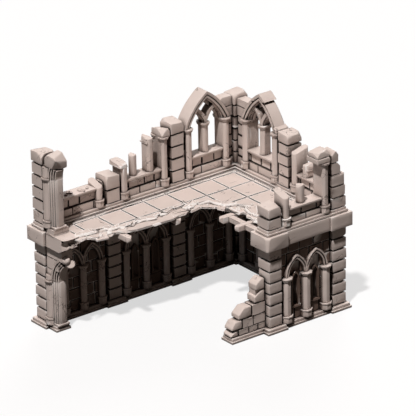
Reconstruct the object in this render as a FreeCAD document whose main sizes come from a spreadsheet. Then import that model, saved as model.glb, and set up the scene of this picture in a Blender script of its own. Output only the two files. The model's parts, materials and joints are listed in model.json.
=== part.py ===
import FreeCAD, Part
import os
import re

# A ruined two-storey gothic building for tabletop games, in millimetres.
# +Z is up, +X runs along the long rear wall and -Y is the front. The origin lies on the table, midway
# between the centrelines of the four outer wall runs. The upper storey lifts straight off the lower one.

doc = FreeCAD.newDocument("terrain_ruin")
sheet = doc.addObject("Spreadsheet::Sheet", "sizes")

SIZES = {
    # plan, measured between wall and pier centrelines
    "bay_length": 56.5,
    "end_bay_length": 53.5,
    "bay_depth": 60.0,
    "end_bay_depth": 47.2,
    # heights
    "plinth_step": 2.0,
    "lift_level": 62.5,
    "floor_level": 73.0,
    "kerb_step": 1.85,
    "ground_spring": 37.0,
    "upper_spring": 113.0,
    "sill_level": 91.2,
    # walls, piers and their courses
    "wall_core": 5.6,
    "pier_width": 11.3,
    "pier_depth": 13.0,
    "corner_pier": 12.6,
    "course": 8.4,
    "groove": 0.8,
    "corner_stub": 17.5,
    # plinths, string course and sills
    "plinth_half": 7.0,
    "pad_out": 2.6,
    "step_in": 0.9,
    "band_half": 7.6,
    "band_block_out": 3.2,
    "sill_thick": 2.2,
    "sill_half": 5.2,
    # shafts and arches
    "shaft_radius": 2.6,
    "outer_radius": 3.2,
    "shaft_gap": 5.1,
    "shaft_out": 1.5,
    "ring_out": 0.8,
    "ring_high": 2.0,
    "arch_ring": 2.6,
    "arch_deep": 3.0,
    "ground_rise": 15.5,
    "rear_window_spare": 1.35,
    "side_window_spare": 4.85,
    "window_ring": 5.2,
    "window_deep": 11.0,
    "window_rise": 24.5,
    "slit_half": 2.3,
    "slit_foot": 14.0,
    "slit_spring": 33.0,
    "slit_rise": 4.5,
    "mullion_radius": 2.0,
    "tracery_deep": 3.4,
    # floor
    "deck_thick": 3.0,
    "paving_thick": 1.4,
    "tile_border": 3.0,
    "tile": 20.0,
    "tile_groove": 0.7,
    "tile_groove_deep": 0.6,
    "joist_wide": 4.6,
    "joist_high": 4.4,
    # left return and front wing
    "return_thick": 9.0,
    "jamb_spot": 14.6,
    "jamb_half": 2.9,
    "wing_thick": 9.0,
    "wing_set_back": 2.7,
    "wing_length": 30.6,
    "wing_high": 37.6,
}
for row, (alias, number) in enumerate(SIZES.items(), start=1):
    sheet.set(f"A{row}", alias)
    sheet.set(f"B{row}", str(number))
    sheet.setAlias(f"B{row}", alias)
doc.recompute()

# Places that follow from the sizes, as formulas of the sheet's words.
RIGHT = "(bay_length + end_bay_length / 2)"
REAR = "((bay_depth + end_bay_depth) / 2)"
MID_LEFT = f"({RIGHT} - 2 * bay_length)"
MID_RIGHT = f"({RIGHT} - bay_length)"
SIDE_MID = f"({REAR} - bay_depth)"
GROUND_FOOT = "(2 * plinth_step)"
UPPER_FOOT = "(floor_level + 2 * kerb_step)"
SHAFT_LINE = "(wall_core / 2 + shaft_out)"
SHAFT_ROOM = "(2 * (shaft_radius + ring_out))"
WEB = "(1.8 * shaft_radius)"

UP = FreeCAD.Vector(0, 0, 1)
ALONG = FreeCAD.Vector(1, 0, 0)

nodes = []


def size(alias):
    return float(sheet.get(alias))


def formula(text):
    """Point each word of the text at the cell with that alias."""
    return re.sub(r"[a-z][a-z_]*", lambda word: "sizes." + word.group(), str(text))


def bind(item, **cells):
    for name, text in cells.items():
        item.setExpression(name, formula(text))
    return item


def place(item, x="0", y="0", z="0"):
    for axis, text in zip("xyz", (x, y, z)):
        item.setExpression(f"Placement.Base.{axis}", formula(text))
    return item


def block(x, y, z, wide, deep, high):
    """A box centred on x and y that stands on z."""
    item = bind(doc.addObject("Part::Box", "block"), Length=wide, Width=deep, Height=high)
    return place(item, f"({x}) - ({wide}) / 2", f"({y}) - ({deep}) / 2", z)


def octagon(x, y, z, radius, high):
    """An eight-sided prism with flats towards the wall and along it."""
    item = doc.addObject("Part::Prism", "octagon")
    item.Polygon = 8
    item.Placement = FreeCAD.Placement(FreeCAD.Vector(), FreeCAD.Rotation(UP, 22.5))
    return place(bind(item, Circumradius=radius, Height=high), x, y, z)


def joined(pieces):
    item = doc.addObject("Part::MultiFuse", "joined")
    item.Shapes = pieces
    item.Refine = True
    return item


def pair(kind, base, tool):
    item = doc.addObject(kind, "pair")
    item.Base = base
    item.Tool = tool
    return item


def cut(base, tool):
    return pair("Part::Cut", base, tool)


def shared(base, tool):
    return pair("Part::Common", base, tool)


def outline_body(points, thickness, flat=False):
    """A padded outline: upright along X and centred on Y, or flat and rising from its own plane."""
    body = doc.addObject("PartDesign::Body", "outline")
    plane = next(f for f in body.Origin.OriginFeatures if f.Role == "XY_Plane")
    sketch = body.newObject("Sketcher::SketchObject", "edge")
    sketch.AttachmentSupport = [(plane, "")]
    sketch.MapMode = "FlatFace"
    corners = [FreeCAD.Vector(u, v, 0) for u, v in points]
    for start, end in zip(corners, corners[1:] + corners[:1]):
        sketch.addGeometry(Part.LineSegment(start, end), False)
    pad = body.newObject("PartDesign::Pad", "pad")
    pad.Profile = sketch
    pad.setExpression("Length", formula(thickness))
    body.Tip = pad
    if not flat:
        body.Placement = FreeCAD.Placement(FreeCAD.Vector(), FreeCAD.Rotation(ALONG, 90))
        place(body, "0", f"({thickness}) / 2", "0")
    return body


def finish(item, label, x="0", y="0", z="0", turn=0):
    """Name a finished piece and put it in its place, turned about Z first."""
    item.Label = label
    base = item.Placement
    item.Placement = FreeCAD.Placement(FreeCAD.Vector(), FreeCAD.Rotation(UP, turn)).multiply(base)
    if (x, y, z) != ("0", "0", "0"):
        place(item, x, y, z)
    nodes.append(item)
    return item


def pointed(x, foot, spring, half, rise, y, deep):
    """A pointed prism, straight from foot to spring and then two arcs, starting at y."""
    radius = f"((({half}) * ({half}) + ({rise}) * ({rise})) / (2 * ({half})))"
    arcs = []
    for sign in ("-", "+"):
        arc = doc.addObject("Part::Cylinder", "arc")
        arc.Placement = FreeCAD.Placement(FreeCAD.Vector(), FreeCAD.Rotation(ALONG, -90))
        bind(arc, Radius=radius, Height=deep)
        arcs.append(place(arc, f"({x}) {sign} ({radius} - ({half}))", y, spring))
    middle = f"({y}) + ({deep}) / 2"
    above = block(x, middle, spring, f"2 * ({half}) + 2", deep, f"({rise}) + 1")
    head = shared(shared(*arcs), above)
    stem = block(x, middle, foot, f"2 * ({half})", deep, f"({spring}) - ({foot})")
    return joined([stem, head])


def shaft(x, y, foot, top, ring=True, radius="shaft_radius"):
    """An octagonal shaft with a base ring and, if whole, a capital ring."""
    wide = f"{radius} + ring_out"
    pieces = [octagon(x, y, foot, radius, f"({top}) - ({foot})")]
    pieces.append(octagon(x, y, foot, wide, "ring_high"))
    if ring:
        pieces.append(octagon(x, y, f"({top}) - ring_high", wide, "ring_high"))
    return pieces


def in_front(item, side, wide, foot, top, x="0"):
    """The part of item on one side of the wall core, so that it lies against the wall's face."""
    room = "(shaft_out + outer_radius + ring_out)"
    middle = f"{side} * (wall_core / 2 + {room} / 2)"
    return shared(item, block(x, middle, foot, wide, room, f"({top}) - ({foot})"))


# Ground storey: plinths

def stepped(x, y, wide, deep, foot, step):
    """Two slabs, the upper one set in all round."""
    lower = block(x, y, foot, wide, deep, step)
    upper = block(x, y, f"{foot} + {step}", f"{wide} - 2 * step_in", f"{deep} - 2 * step_in", step)
    return [lower, upper]


def plinth(label, strips, pads):
    pieces = []
    for x, y, wide, deep in strips + pads:
        pieces += stepped(x, y, wide, deep, "0", "plinth_step")
    finish(joined(pieces), label)


CORNER_PAD = "(corner_pier + 2 * pad_out)"
STRIP = "(2 * plinth_half)"
RETURN_PLINTH = "(jamb_spot + shaft_radius + ring_out)"


def pad(x, y):
    return (x, y, CORNER_PAD, CORNER_PAD)


def make_plinths():
    run = f"(2 * {RIGHT} - {CORNER_PAD} + 2 * step_in)"
    plinth(
        "plinth_rear",
        [
            ("0", REAR, run, STRIP),
            (f"-{RIGHT}", f"{REAR} - {RETURN_PLINTH} / 2", "2 * plinth_half - 1.4", RETURN_PLINTH),
        ],
        [pad(f"-{RIGHT}", REAR), pad(MID_LEFT, REAR), pad(MID_RIGHT, REAR), pad(RIGHT, REAR)],
    )
    inner = f"(2 * {REAR} - {CORNER_PAD})"
    pieces = [
        block(RIGHT, "0", "0", STRIP, inner, "plinth_step"),
        block(RIGHT, "0", "plinth_step", f"{STRIP} - 2 * step_in", inner, "plinth_step"),
        block(RIGHT, SIDE_MID, "0", CORNER_PAD, CORNER_PAD, "plinth_step"),
        block(RIGHT, SIDE_MID, "plinth_step", f"{CORNER_PAD} - 2 * step_in", CORNER_PAD, "plinth_step"),
    ]
    finish(joined(pieces), "plinth_side")
    bay = "bay_length"
    plinth(
        "plinth_front",
        [
            (f"{RIGHT} - {bay} / 2", f"-{REAR}", bay, STRIP),
            (
                f"{MID_RIGHT} - (wing_length + pier_width / 2) / 2",
                f"-{REAR} + wing_set_back",
                "wing_length + pier_width / 2",
                "wing_thick + 3.6",
            ),
        ],
        [pad(RIGHT, f"-{REAR}"), pad(MID_RIGHT, f"-{REAR}")],
    )


# Ground storey: wall panels with their arcades

LONG_CLEAR = "(bay_length - pier_width / 2 - corner_pier / 2)"
MID_CLEAR = "(bay_length - pier_width)"
LEFT_CLEAR = "(end_bay_length - pier_width / 2 - corner_pier / 2)"
SIDE_REAR_CLEAR = "(bay_depth - corner_pier / 2 - pier_width / 2)"
SIDE_FRONT_CLEAR = "(end_bay_depth - corner_pier / 2 - pier_width / 2)"

# label, clear width, place of the bay's middle and turn; the room side is local -Y
BAYS = {
    "rear_left": (LEFT_CLEAR, f"-{RIGHT} + corner_pier / 2 + {LEFT_CLEAR} / 2", REAR, 0),
    "rear_mid": (MID_CLEAR, f"{MID_LEFT} + bay_length / 2", REAR, 0),
    "rear_right": (LONG_CLEAR, f"{RIGHT} - corner_pier / 2 - {LONG_CLEAR} / 2", REAR, 0),
    "side_rear": (SIDE_REAR_CLEAR, RIGHT, f"{REAR} - corner_pier / 2 - {SIDE_REAR_CLEAR} / 2", -90),
    "side_front": (SIDE_FRONT_CLEAR, RIGHT, f"-{REAR} + corner_pier / 2 + {SIDE_FRONT_CLEAR} / 2", -90),
    "front": (LONG_CLEAR, f"{RIGHT} - corner_pier / 2 - {LONG_CLEAR} / 2", f"-{REAR}", 180),
}
PIERCED = ("rear_mid", "front")


def arcade(clear, side):
    """Three shafts and two blind pointed arches against one face of a bay; the outer ones are stouter."""
    reach = f"({clear} / 2 - shaft_gap)"
    radius = "outer_radius" if side > 0 else "shaft_radius"
    pieces = []
    for spot in (-1, 0, 1):
        line = f"{side} * {SHAFT_LINE}"
        pieces += shaft(f"{spot} * {reach}", line, GROUND_FOOT, "ground_spring", radius=radius)
    start = "wall_core / 2" if side > 0 else "-wall_core / 2 - arch_deep"
    foot = "ground_spring - 1"
    for spot in (-1, 1):
        x = f"{spot} * {reach} / 2"
        spring, deep = "ground_spring", "arch_deep"
        outer = pointed(x, foot, spring, f"({reach} + arch_ring) / 2", "ground_rise", start, deep)
        inner_rise = "ground_rise - 1.2 * arch_ring"
        inner = pointed(x, foot, spring, f"({reach} - arch_ring) / 2", inner_rise, start, deep)
        pieces.append(cut(outer, inner))
    return in_front(joined(pieces), side, clear, GROUND_FOOT, "lift_level")


def panel(clear, side, pierced):
    """A bay's wall with the arcade of one face moulded on it."""
    core = block("0", "0", GROUND_FOOT, clear, "wall_core", f"lift_level - {GROUND_FOOT}")
    wall = joined([core, arcade(clear, side)])
    if pierced:
        reach = f"({clear} / 2 - shaft_gap)"
        for spot in (-1, 1):
            x = f"{spot} * {reach} / 2"
            deep = "wall_core + 2"
            slit = pointed(x, "slit_foot", "slit_spring", "slit_half", "slit_rise", f"-({deep}) / 2", deep)
            wall = cut(wall, slit)
    return wall


def make_ground_bays():
    for name, (clear, x, y, turn) in BAYS.items():
        shown = 1 if name == "front" else -1
        finish(panel(clear, -shown, name in PIERCED), f"wall_{name}", x, y, "0", turn)
        finish(arcade(clear, shown), f"arcade_{name}", x, y, "0", turn)


# Piers of both storeys

def pier(label, x, y, wide, deep, foot, top, turn=0):
    """A core with a course of quoin blocks round it; top is a number."""
    low = size("plinth_step") * 2 if foot == GROUND_FOOT else size("floor_level") + 2 * size("kerb_step")
    high = top - low
    count = max(1, int(high // size("course")))
    pieces = [block("0", "0", foot, f"{wide} - 2 * groove", f"{deep} - 2 * groove", f"{top} - {foot}")]
    for step in range(count):
        base = f"{foot} + {step} * course"
        tall = "course - groove" if step < count - 1 else f"{top} - ({base})"
        pieces.append(block("0", "0", base, wide, deep, tall))
    finish(joined(pieces), label, x, y, "0", turn)


PIERS = {
    "rear_left": (f"-{RIGHT}", REAR, True, 0, 129.5),
    "rear_mid_left": (MID_LEFT, REAR, False, 0, 97.5),
    "rear_mid_right": (MID_RIGHT, REAR, False, 0, 122.0),
    "rear_right": (RIGHT, REAR, True, 0, 129.0),
    "side_mid": (RIGHT, SIDE_MID, False, 90, 117.0),
    "front_left": (MID_RIGHT, f"-{REAR}", False, 0, 93.5),
}


def make_piers():
    for name, (x, y, corner, turn, top) in PIERS.items():
        wide = "corner_pier" if corner else "pier_width"
        deep = "corner_pier" if corner else "pier_depth"
        pier(f"pier_ground_{name}", x, y, wide, deep, GROUND_FOOT, size("lift_level"), turn)
        pier(f"pier_upper_{name}", x, y, wide, deep, UPPER_FOOT, top, turn)
    corner = "corner_pier"
    pier("pier_ground_front_right", RIGHT, f"-{REAR}", corner, corner, GROUND_FOOT, size("lift_level"))
    make_front_right_pier()


def make_front_right_pier():
    """The front corner keeps its first courses whole and only the inner half of the rest."""
    whole = 3
    shoulder = f"{UPPER_FOOT} + {whole} * course"
    inner = "corner_pier - 2 * groove"
    pieces = [block("0", "0", UPPER_FOOT, inner, inner, f"{whole} * course")]
    for step in range(whole):
        base = f"{UPPER_FOOT} + {step} * course"
        pieces.append(block("0", "0", base, "corner_pier", "corner_pier", "course - groove"))
    pieces.append(block("-corner_pier / 5", "0", shoulder, "corner_pier * 3 / 5", inner, "corner_stub"))
    finish(joined(pieces), "pier_upper_front_right", RIGHT, f"-{REAR}")


# Left return: the broken start of one more bay

def return_wall(label, points, foot, spring):
    wall = outline_body(points, "return_thick")
    jamb_back = "(jamb_spot - shaft_radius)"
    spot = f"(corner_pier / 2 + {jamb_back}) / 2"
    line = "-return_thick / 2"
    outer = joined(shaft(spot, line, foot, spring))
    room = f"{jamb_back} - corner_pier / 2"
    strip = block(spot, f"{line} - {SHAFT_ROOM} / 2", foot, room, SHAFT_ROOM, f"{spring} - {foot}")
    finish(joined([wall, shared(outer, strip)]), label, f"-{RIGHT}", REAR, "0", -90)


def jamb(label, foot, spring):
    """Twin shafts side by side through the wall's thickness, with a rib between them."""
    pieces = []
    for side in (-1, 1):
        pieces += shaft("jamb_spot", f"{side} * jamb_half", foot, spring)
    pieces.append(block("jamb_spot", "0", foot, "shaft_radius", "2 * jamb_half", f"{spring} - {foot}"))
    back = "(jamb_spot - shaft_radius)"
    clip = block(f"{back} + 4", "0", foot, "8", "return_thick + 6", f"{spring} - {foot}")
    finish(shared(joined(pieces), clip), label, f"-{RIGHT}", REAR, "0", -90)


def make_return():
    face = size("corner_pier") / 2
    back = size("jamb_spot") - size("shaft_radius")
    front = size("jamb_spot") + size("shaft_radius")
    foot = 2 * size("plinth_step")
    spring = size("ground_spring")
    top = size("lift_level")
    ground = [(face, foot), (back, foot), (back, spring), (front, spring), (front + 1.5, spring + 5)]
    ground += [(front + 5.5, spring + 10.5), (front + 10, spring + 13.5), (front + 14, spring + 15.5)]
    ground += [(front + 11, spring + 20.5), (front + 7, top), (face, top)]
    return_wall("return_ground", ground, GROUND_FOOT, "ground_spring")
    jamb("jamb_ground", GROUND_FOOT, "ground_spring")
    foot = size("floor_level") + 2 * size("kerb_step")
    spring = size("upper_spring")
    upper = [(face, foot), (back, foot), (back, spring), (front, spring), (front + 2.5, spring + 6.5)]
    upper += [(front + 8.5, spring + 12.5), (front + 9, spring + 17.5), (front + 3, spring + 18.5)]
    upper += [(front - 5, spring + 15), (face, spring + 11)]
    return_wall("return_upper", upper, UPPER_FOOT, "upper_spring")
    jamb("jamb_upper", UPPER_FOOT, "upper_spring")


# Front wing: a stepped, broken length of wall beside the front doorway

def make_wing():
    end = -size("pier_width") / 2
    foot = 2 * size("plinth_step")
    far = end - size("wing_length")
    top = foot + size("wing_high")
    points = [(end, foot), (far, foot), (far + 2, foot + 10.5), (far + 10, foot + 18.5)]
    points += [(end - 9, foot + 20), (end - 9, foot + 29), (end - 7.5, top), (end, top)]
    line = f"-{REAR} + wing_set_back + wing_thick / 2"
    finish(outline_body(points, "wing_thick"), "wing", MID_RIGHT, line)


# Upper storey: string course with the wall-foot kerb on it

def band_pieces(x, y, wide, deep):
    high = "(floor_level - lift_level)"
    return [block(x, y, "lift_level", wide, deep, high)] + [
        block(x, y, "floor_level", f"{wide} - {inset}", f"{deep} - {inset}", f"{count} * kerb_step")
        for inset, count in (("0.8", 1), ("2.4", 2))
    ]


BAND_STRIP = "(2 * band_half)"
BAND_BLOCK = "(corner_pier + 2 * band_block_out)"


def make_bands():
    run = f"(2 * {RIGHT})"
    high = "(floor_level - lift_level)"
    pieces = band_pieces("0", REAR, run, BAND_STRIP)
    for x in (f"-{RIGHT}", MID_LEFT, MID_RIGHT, RIGHT):
        pieces.append(block(x, REAR, "lift_level", BAND_BLOCK, BAND_BLOCK, high))
        pieces += band_pieces(x, REAR, BAND_STRIP, BAND_STRIP)
    finish(joined(pieces), "band_rear")

    inner = f"(2 * {REAR} - {BAND_BLOCK})"
    pieces = [
        block(RIGHT, "0", "lift_level", BAND_STRIP, inner, high),
        block(RIGHT, "0", "floor_level", f"{BAND_STRIP} - 0.8", inner, "kerb_step"),
        block(RIGHT, "0", "floor_level", f"{BAND_STRIP} - 2.4", inner, "2 * kerb_step"),
        block(RIGHT, SIDE_MID, "lift_level", BAND_BLOCK, BAND_BLOCK, high),
    ]
    finish(joined(pieces), "band_side")

    middle = f"{RIGHT} - bay_length / 2"
    pieces = band_pieces(middle, f"-{REAR}", "bay_length", BAND_STRIP)
    for x in (MID_RIGHT, RIGHT):
        pieces.append(block(x, f"-{REAR}", "lift_level", BAND_BLOCK, BAND_BLOCK, high))
        pieces += band_pieces(x, f"-{REAR}", BAND_STRIP, BAND_STRIP)
    finish(joined(pieces), "band_front")

    start = size("corner_pier") / 2 + size("band_block_out")
    low, top = size("lift_level"), size("floor_level")
    points = [(start, low), (start + 14.5, low), (start + 19, low + 2.5), (start + 17.5, low + 7)]
    points += [(start + 20, top - 0.5), (start + 17, top), (start, top)]
    kerb_long = "(jamb_spot + shaft_radius + 1 - corner_pier / 2 - band_block_out)"
    middle = f"{start} + {kerb_long} / 2"
    kerb = block(middle, "0", "floor_level", kerb_long, f"{BAND_STRIP} - 2.4", "2 * kerb_step")
    slab = outline_body(points, f"{BAND_STRIP} - {2 * RETURN_INSET}")
    finish(joined([slab, kerb]), "band_return", f"-{RIGHT}", REAR, "0", -90)


# Upper storey: floor

RETURN_INSET = 0.6

# Broken edges of the two layers of the floor, drawn in tiles: to the left of the right border,
# and to the front of the rear border. They run from just inside the front wall, where only the first
# number of tiles is given, round to the left return.
SLAB_START = 1.9
SLAB_EDGE = [
    (1.75, 4.0), (1.95, 3.5), (1.8, 3.0), (1.95, 2.2), (2.3, 1.8), (2.6, 1.5), (3.1, 1.4),
    (4.0, 1.7), (5.5, 1.6), (6.2, 1.35), (6.6, 1.3), (6.8, 1.5), (7.0, 1.3), (7.2, 1.0),
]
PAVING_START = 1.6
PAVING_EDGE = [
    (1.7, 3.0), (1.5, 2.7), (1.6, 2.3), (2.0, 2.0), (2.2, 1.5), (2.6, 1.25), (3.0, 1.25),
    (3.0, 1.1), (3.6, 1.1), (4.6, 1.3), (5.0, 1.2), (5.8, 1.3), (6.4, 1.0), (6.8, 0.9), (7.2, 0.85),
]


def floor_half_sizes():
    """Half the width and half the depth of the floor, between the insides of the string course."""
    wide = size("bay_length") + size("end_bay_length") / 2 - size("band_half")
    deep = (size("bay_depth") + size("end_bay_depth")) / 2 - size("band_half")
    return wide, deep


def floor_layer(start, edge, thickness, height):
    """One layer of the floor, let in around the string course's blocks."""
    side, rear = floor_half_sizes()
    left = -side - RETURN_INSET
    right_border, rear_border = side - size("tile_border"), rear - size("tile_border")
    tile = size("tile")
    broken = [(right_border - across * tile, rear_border - along * tile) for across, along in edge]
    start = right_border - start * tile
    points = [(left, rear), (side, rear), (side, -rear), (start, -rear), (start, 1 - rear)] + broken
    points.append((left, broken[-1][1]))
    layer = outline_body(points, thickness, flat=True)
    place(layer, "0", "0", height)
    return cut(layer, band_blocks())


def make_floor():
    slab = floor_layer(SLAB_START, SLAB_EDGE, "deck_thick - paving_thick", "floor_level - deck_thick")
    finish(slab, "deck")
    side, rear = floor_half_sizes()
    long_x, long_y = 2 * (side - size("tile_border")), 2 * (rear - size("tile_border"))
    grooves = []
    depth = "floor_level - tile_groove_deep"
    for step in range(int((long_x + size("tile_border")) // size("tile")) + 1):
        x = f"{side} - tile_border - {step} * tile"
        grooves.append(block(x, "0", depth, "tile_groove", f"{long_y}", "2 * tile_groove_deep"))
    for step in range(int((long_y + size("tile_border")) // size("tile")) + 1):
        y = f"{rear} - tile_border - {step} * tile"
        grooves.append(block("0", y, depth, f"{long_x}", "tile_groove", "2 * tile_groove_deep"))
    paving = floor_layer(PAVING_START, PAVING_EDGE, "paving_thick", "floor_level - paving_thick")
    finish(cut(paving, joined(grooves)), "paving")


def band_blocks():
    """The blocks of the string course at the piers, which the floor is let in around."""
    high = "(floor_level - lift_level)"
    spots = [(x, REAR) for x in (f"-{RIGHT}", MID_LEFT, MID_RIGHT, RIGHT)]
    spots += [(RIGHT, SIDE_MID), (MID_RIGHT, f"-{REAR}"), (RIGHT, f"-{REAR}")]
    return joined([block(x, y, "lift_level", BAND_BLOCK, BAND_BLOCK, high) for x, y in spots])


# Joists from the rear wall and beams from the right wall: the line each lies on and its broken tip.
REAR_JOISTS = {"joist_left": (-47.0, 5.0), "joist_mid": (-2.5, 7.5)}
SIDE_BEAMS = [(-7.5, 21.5), (-26.0, 19.5)]
TRIMMER_LINE = 28.0


def make_joists():
    low = "(floor_level - deck_thick - joist_high)"
    rear = f"({REAR} - band_half)"
    side = f"({RIGHT} - band_half)"
    for name, (x, tip) in REAR_JOISTS.items():
        span = f"({rear} - {tip})"
        beam = block(x, f"{tip} + {span} / 2", low, "joist_wide", span, "joist_high")
        finish(cut(beam, band_blocks()), name)
    frame = []
    for y, tip in SIDE_BEAMS:
        span = f"({side} - {tip})"
        frame.append(block(f"{tip} + {span} / 2", y, low, span, "joist_wide", "joist_high"))
    trimmer = f"({rear} - 5)"
    frame.append(block(TRIMMER_LINE, f"-5 - {trimmer} / 2", low, "joist_wide", trimmer, "joist_high"))
    finish(cut(joined(frame), band_blocks()), "joist_frame")


# Upper storey: walls, windows and broken shafts

# Each window fills its bay but for a spare width, which it leaves on the side away from its shafts' gap.
WINDOW_REACH = {
    "rear_right": f"(({LONG_CLEAR} - rear_window_spare) / 2 - shaft_gap)",
    "side_rear": f"(({SIDE_REAR_CLEAR} - side_window_spare) / 2 - shaft_gap)",
}
WINDOW_OUTER = {name: f"({reach} + shaft_radius + 1)" for name, reach in WINDOW_REACH.items()}
WINDOW_MIDDLE = {
    "rear_right": f"(-{LONG_CLEAR} / 2 + shaft_gap + {WINDOW_REACH['rear_right']})",
    "side_rear": f"({SIDE_REAR_CLEAR} / 2 - shaft_gap - {WINDOW_REACH['side_rear']})",
}


def window_wall(name, strip_top):
    """A wall under a window, with its sill, a strip each side of the frame and one spandrel."""
    clear, x, y, turn = BAYS[name]
    middle = WINDOW_MIDDLE[name]
    foot = UPPER_FOOT
    sill_low = "(sill_level - sill_thick)"
    wall = [block("0", "0", foot, clear, "wall_core", f"{sill_low} - {foot}")]
    wide = f"2 * ({WINDOW_REACH[name]} - shaft_radius - ring_out)"
    wall.append(block(middle, "0", sill_low, wide, "2 * sill_half", "sill_thick"))
    for sign in (-1, 1):
        far = f"({sign} * {clear} / 2)"
        near = f"({middle} + {sign} * {WINDOW_OUTER[name]})"
        strip = f"({sign} * ({far} - {near}))"
        corner = sign > 0 if name == "rear_right" else sign < 0
        top = strip_top if corner else "upper_spring"
        spot = f"({far} + {near}) / 2"
        wall.append(block(spot, "0", sill_low, strip, "wall_core + 2.4", f"{top} - {sill_low}"))
        if corner:
            wide = f"({sign} * ({far} - {middle}) - 7)"
            centre = f"{far} - {sign} * {wide} / 2"
            fill = block(centre, "0", "upper_spring", wide, "wall_core + 2.4", f"{strip_top} - upper_spring")
            deep = "wall_core + 6"
            foot, spring = "upper_spring - 1", "upper_spring"
            start = f"-({deep}) / 2"
            hole = pointed(middle, foot, spring, WINDOW_OUTER[name], "window_rise", start, deep)
            wall.append(cut(fill, hole))
    finish(joined(wall), f"wall_upper_{name}", x, y, "0", turn)


def window(name, notch):
    """The pointed window's arch on its four shafts, and its tracery."""
    clear, x, y, turn = BAYS[name]
    middle = WINDOW_MIDDLE[name]
    start = "-window_deep / 2"
    spring = "upper_spring"
    outer = pointed(middle, f"{spring} - 1", spring, WINDOW_OUTER[name], "window_rise", start, "window_deep")
    inner_half = f"({WINDOW_OUTER[name]} - window_ring)"
    inner_rise = "(window_rise - 1.15 * window_ring)"
    inner = pointed(middle, f"{spring} - 1", spring, inner_half, inner_rise, start, "window_deep")
    pieces = [cut(outer, inner)]
    sill_low = "(sill_level - sill_thick)"
    for sign in (-1, 1):
        spot = f"{middle} + {sign} * {WINDOW_REACH[name]}"
        for side in (-1, 1):
            engaged = joined(shaft(spot, f"{side} * {SHAFT_LINE}", UPPER_FOOT, spring))
            pieces.append(in_front(engaged, side, SHAFT_ROOM, UPPER_FOOT, spring, spot))
        pieces.append(block(spot, "0", sill_low, "2 * shaft_radius", "wall_core", f"{spring} - {sill_low}"))
    frame = joined(pieces)
    if notch:
        bite = block(f"{middle} - 13", "0", "upper_spring + 19", "9", "window_deep + 2", "8")
        frame = cut(frame, bite)
    finish(frame, f"window_{name}", x, y, "0", turn)
    make_tracery(name, inner_half, inner_rise)


def make_tracery(name, inner_half, inner_rise):
    """A central mullion that carries two small pointed lights under the window's arch."""
    clear, x, y, turn = BAYS[name]
    middle = WINDOW_MIDDLE[name]
    start = "-tracery_deep / 2"
    spring = "upper_spring"
    light_half = f"(({inner_half} - mullion_radius) / 2 - 0.4)"
    plate = pointed(middle, f"{spring} - 1", spring, inner_half, inner_rise, start, "tracery_deep")
    for sign in (-1, 1):
        spot = f"{middle} + {sign} * (({inner_half} + mullion_radius) / 2)"
        plate = cut(plate, pointed(spot, f"{spring} - 1", spring, light_half, "9.5", start, "tracery_deep"))
    eye = doc.addObject("Part::Cylinder", "eye")
    eye.Placement = FreeCAD.Placement(FreeCAD.Vector(), FreeCAD.Rotation(ALONG, -90))
    bind(eye, Radius="2.4", Height="tracery_deep")
    place(eye, middle, start, f"{spring} + 12")
    stilts = block(middle, "0", f"{spring} - 1", f"2 * {inner_half} + 1", "tracery_deep + 1", "1")
    plate = cut(cut(plate, eye), stilts)
    shaft_wide = "mullion_radius + ring_out"
    pieces = [plate, octagon(middle, "0", "sill_level", "mullion_radius", f"{spring} - sill_level")]
    pieces.append(octagon(middle, "0", "sill_level", shaft_wide, "ring_high"))
    pieces.append(octagon(middle, "0", f"{spring} - ring_high", shaft_wide, "ring_high"))
    finish(joined(pieces), f"tracery_{name}", x, y, "0", turn)


def low_wall(name, stubs):
    """A parapet with its sill and the stubs of broken mullions: (place, top) pairs."""
    clear, x, y, turn = BAYS[name]
    height = PARAPETS[name]
    sill_low = f"({height} - sill_thick)"
    pieces = [block("0", "0", UPPER_FOOT, clear, "wall_core", f"{sill_low} - {UPPER_FOOT}")]
    between = f"{clear} - 2 * (shaft_gap + shaft_radius + ring_out)"
    pieces.append(block("0", "0", sill_low, between, "2 * sill_half", "sill_thick"))
    pieces.append(block("0", "0", sill_low, clear, "wall_core", "sill_thick"))
    for spot, top in stubs:
        pieces.append(octagon(spot, "0", height, "mullion_radius", f"{top} - {height}"))
        pieces.append(octagon(spot, "0", height, "mullion_radius + ring_out", "ring_high"))
    finish(joined(pieces), f"wall_upper_{name}", x, y, "0", turn)


def broken_shaft(label, bay, spot, low, top, ring=False, springer=None):
    """A pillar through a low wall, broken at top, or whole with the start of its arch on it.

    Its shafts stand against both faces, and above the wall, from low up, a web joins them."""
    clear, x, y, turn = BAYS[bay]
    centre = f"{spot} * ({clear} / 2 - shaft_gap)"
    pieces = [block("0", "0", low, WEB, "wall_core", f"{top} - {low}")]
    for side in (-1, 1):
        shafts = joined(shaft("0", f"{side} * {SHAFT_LINE}", UPPER_FOOT, top, ring))
        pieces.append(in_front(shafts, side, SHAFT_ROOM, UPPER_FOOT, top))
    if springer:
        wide, tall = springer
        shift = f"(-1 * {spot} * ({wide} / 2 - shaft_gap + 0.2))"
        pieces.append(block(shift, "0", top, wide, "window_deep", tall))
    away = {0: (f"({x}) + {centre}", y), -90: (x, f"({y}) - {centre}"), 180: (f"({x}) - {centre}", y)}
    finish(joined(pieces), label, *away[turn], "0", turn)


PARAPETS = {"rear_left": "91", "rear_mid": "90", "side_front": "90.3", "front": "88"}


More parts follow.
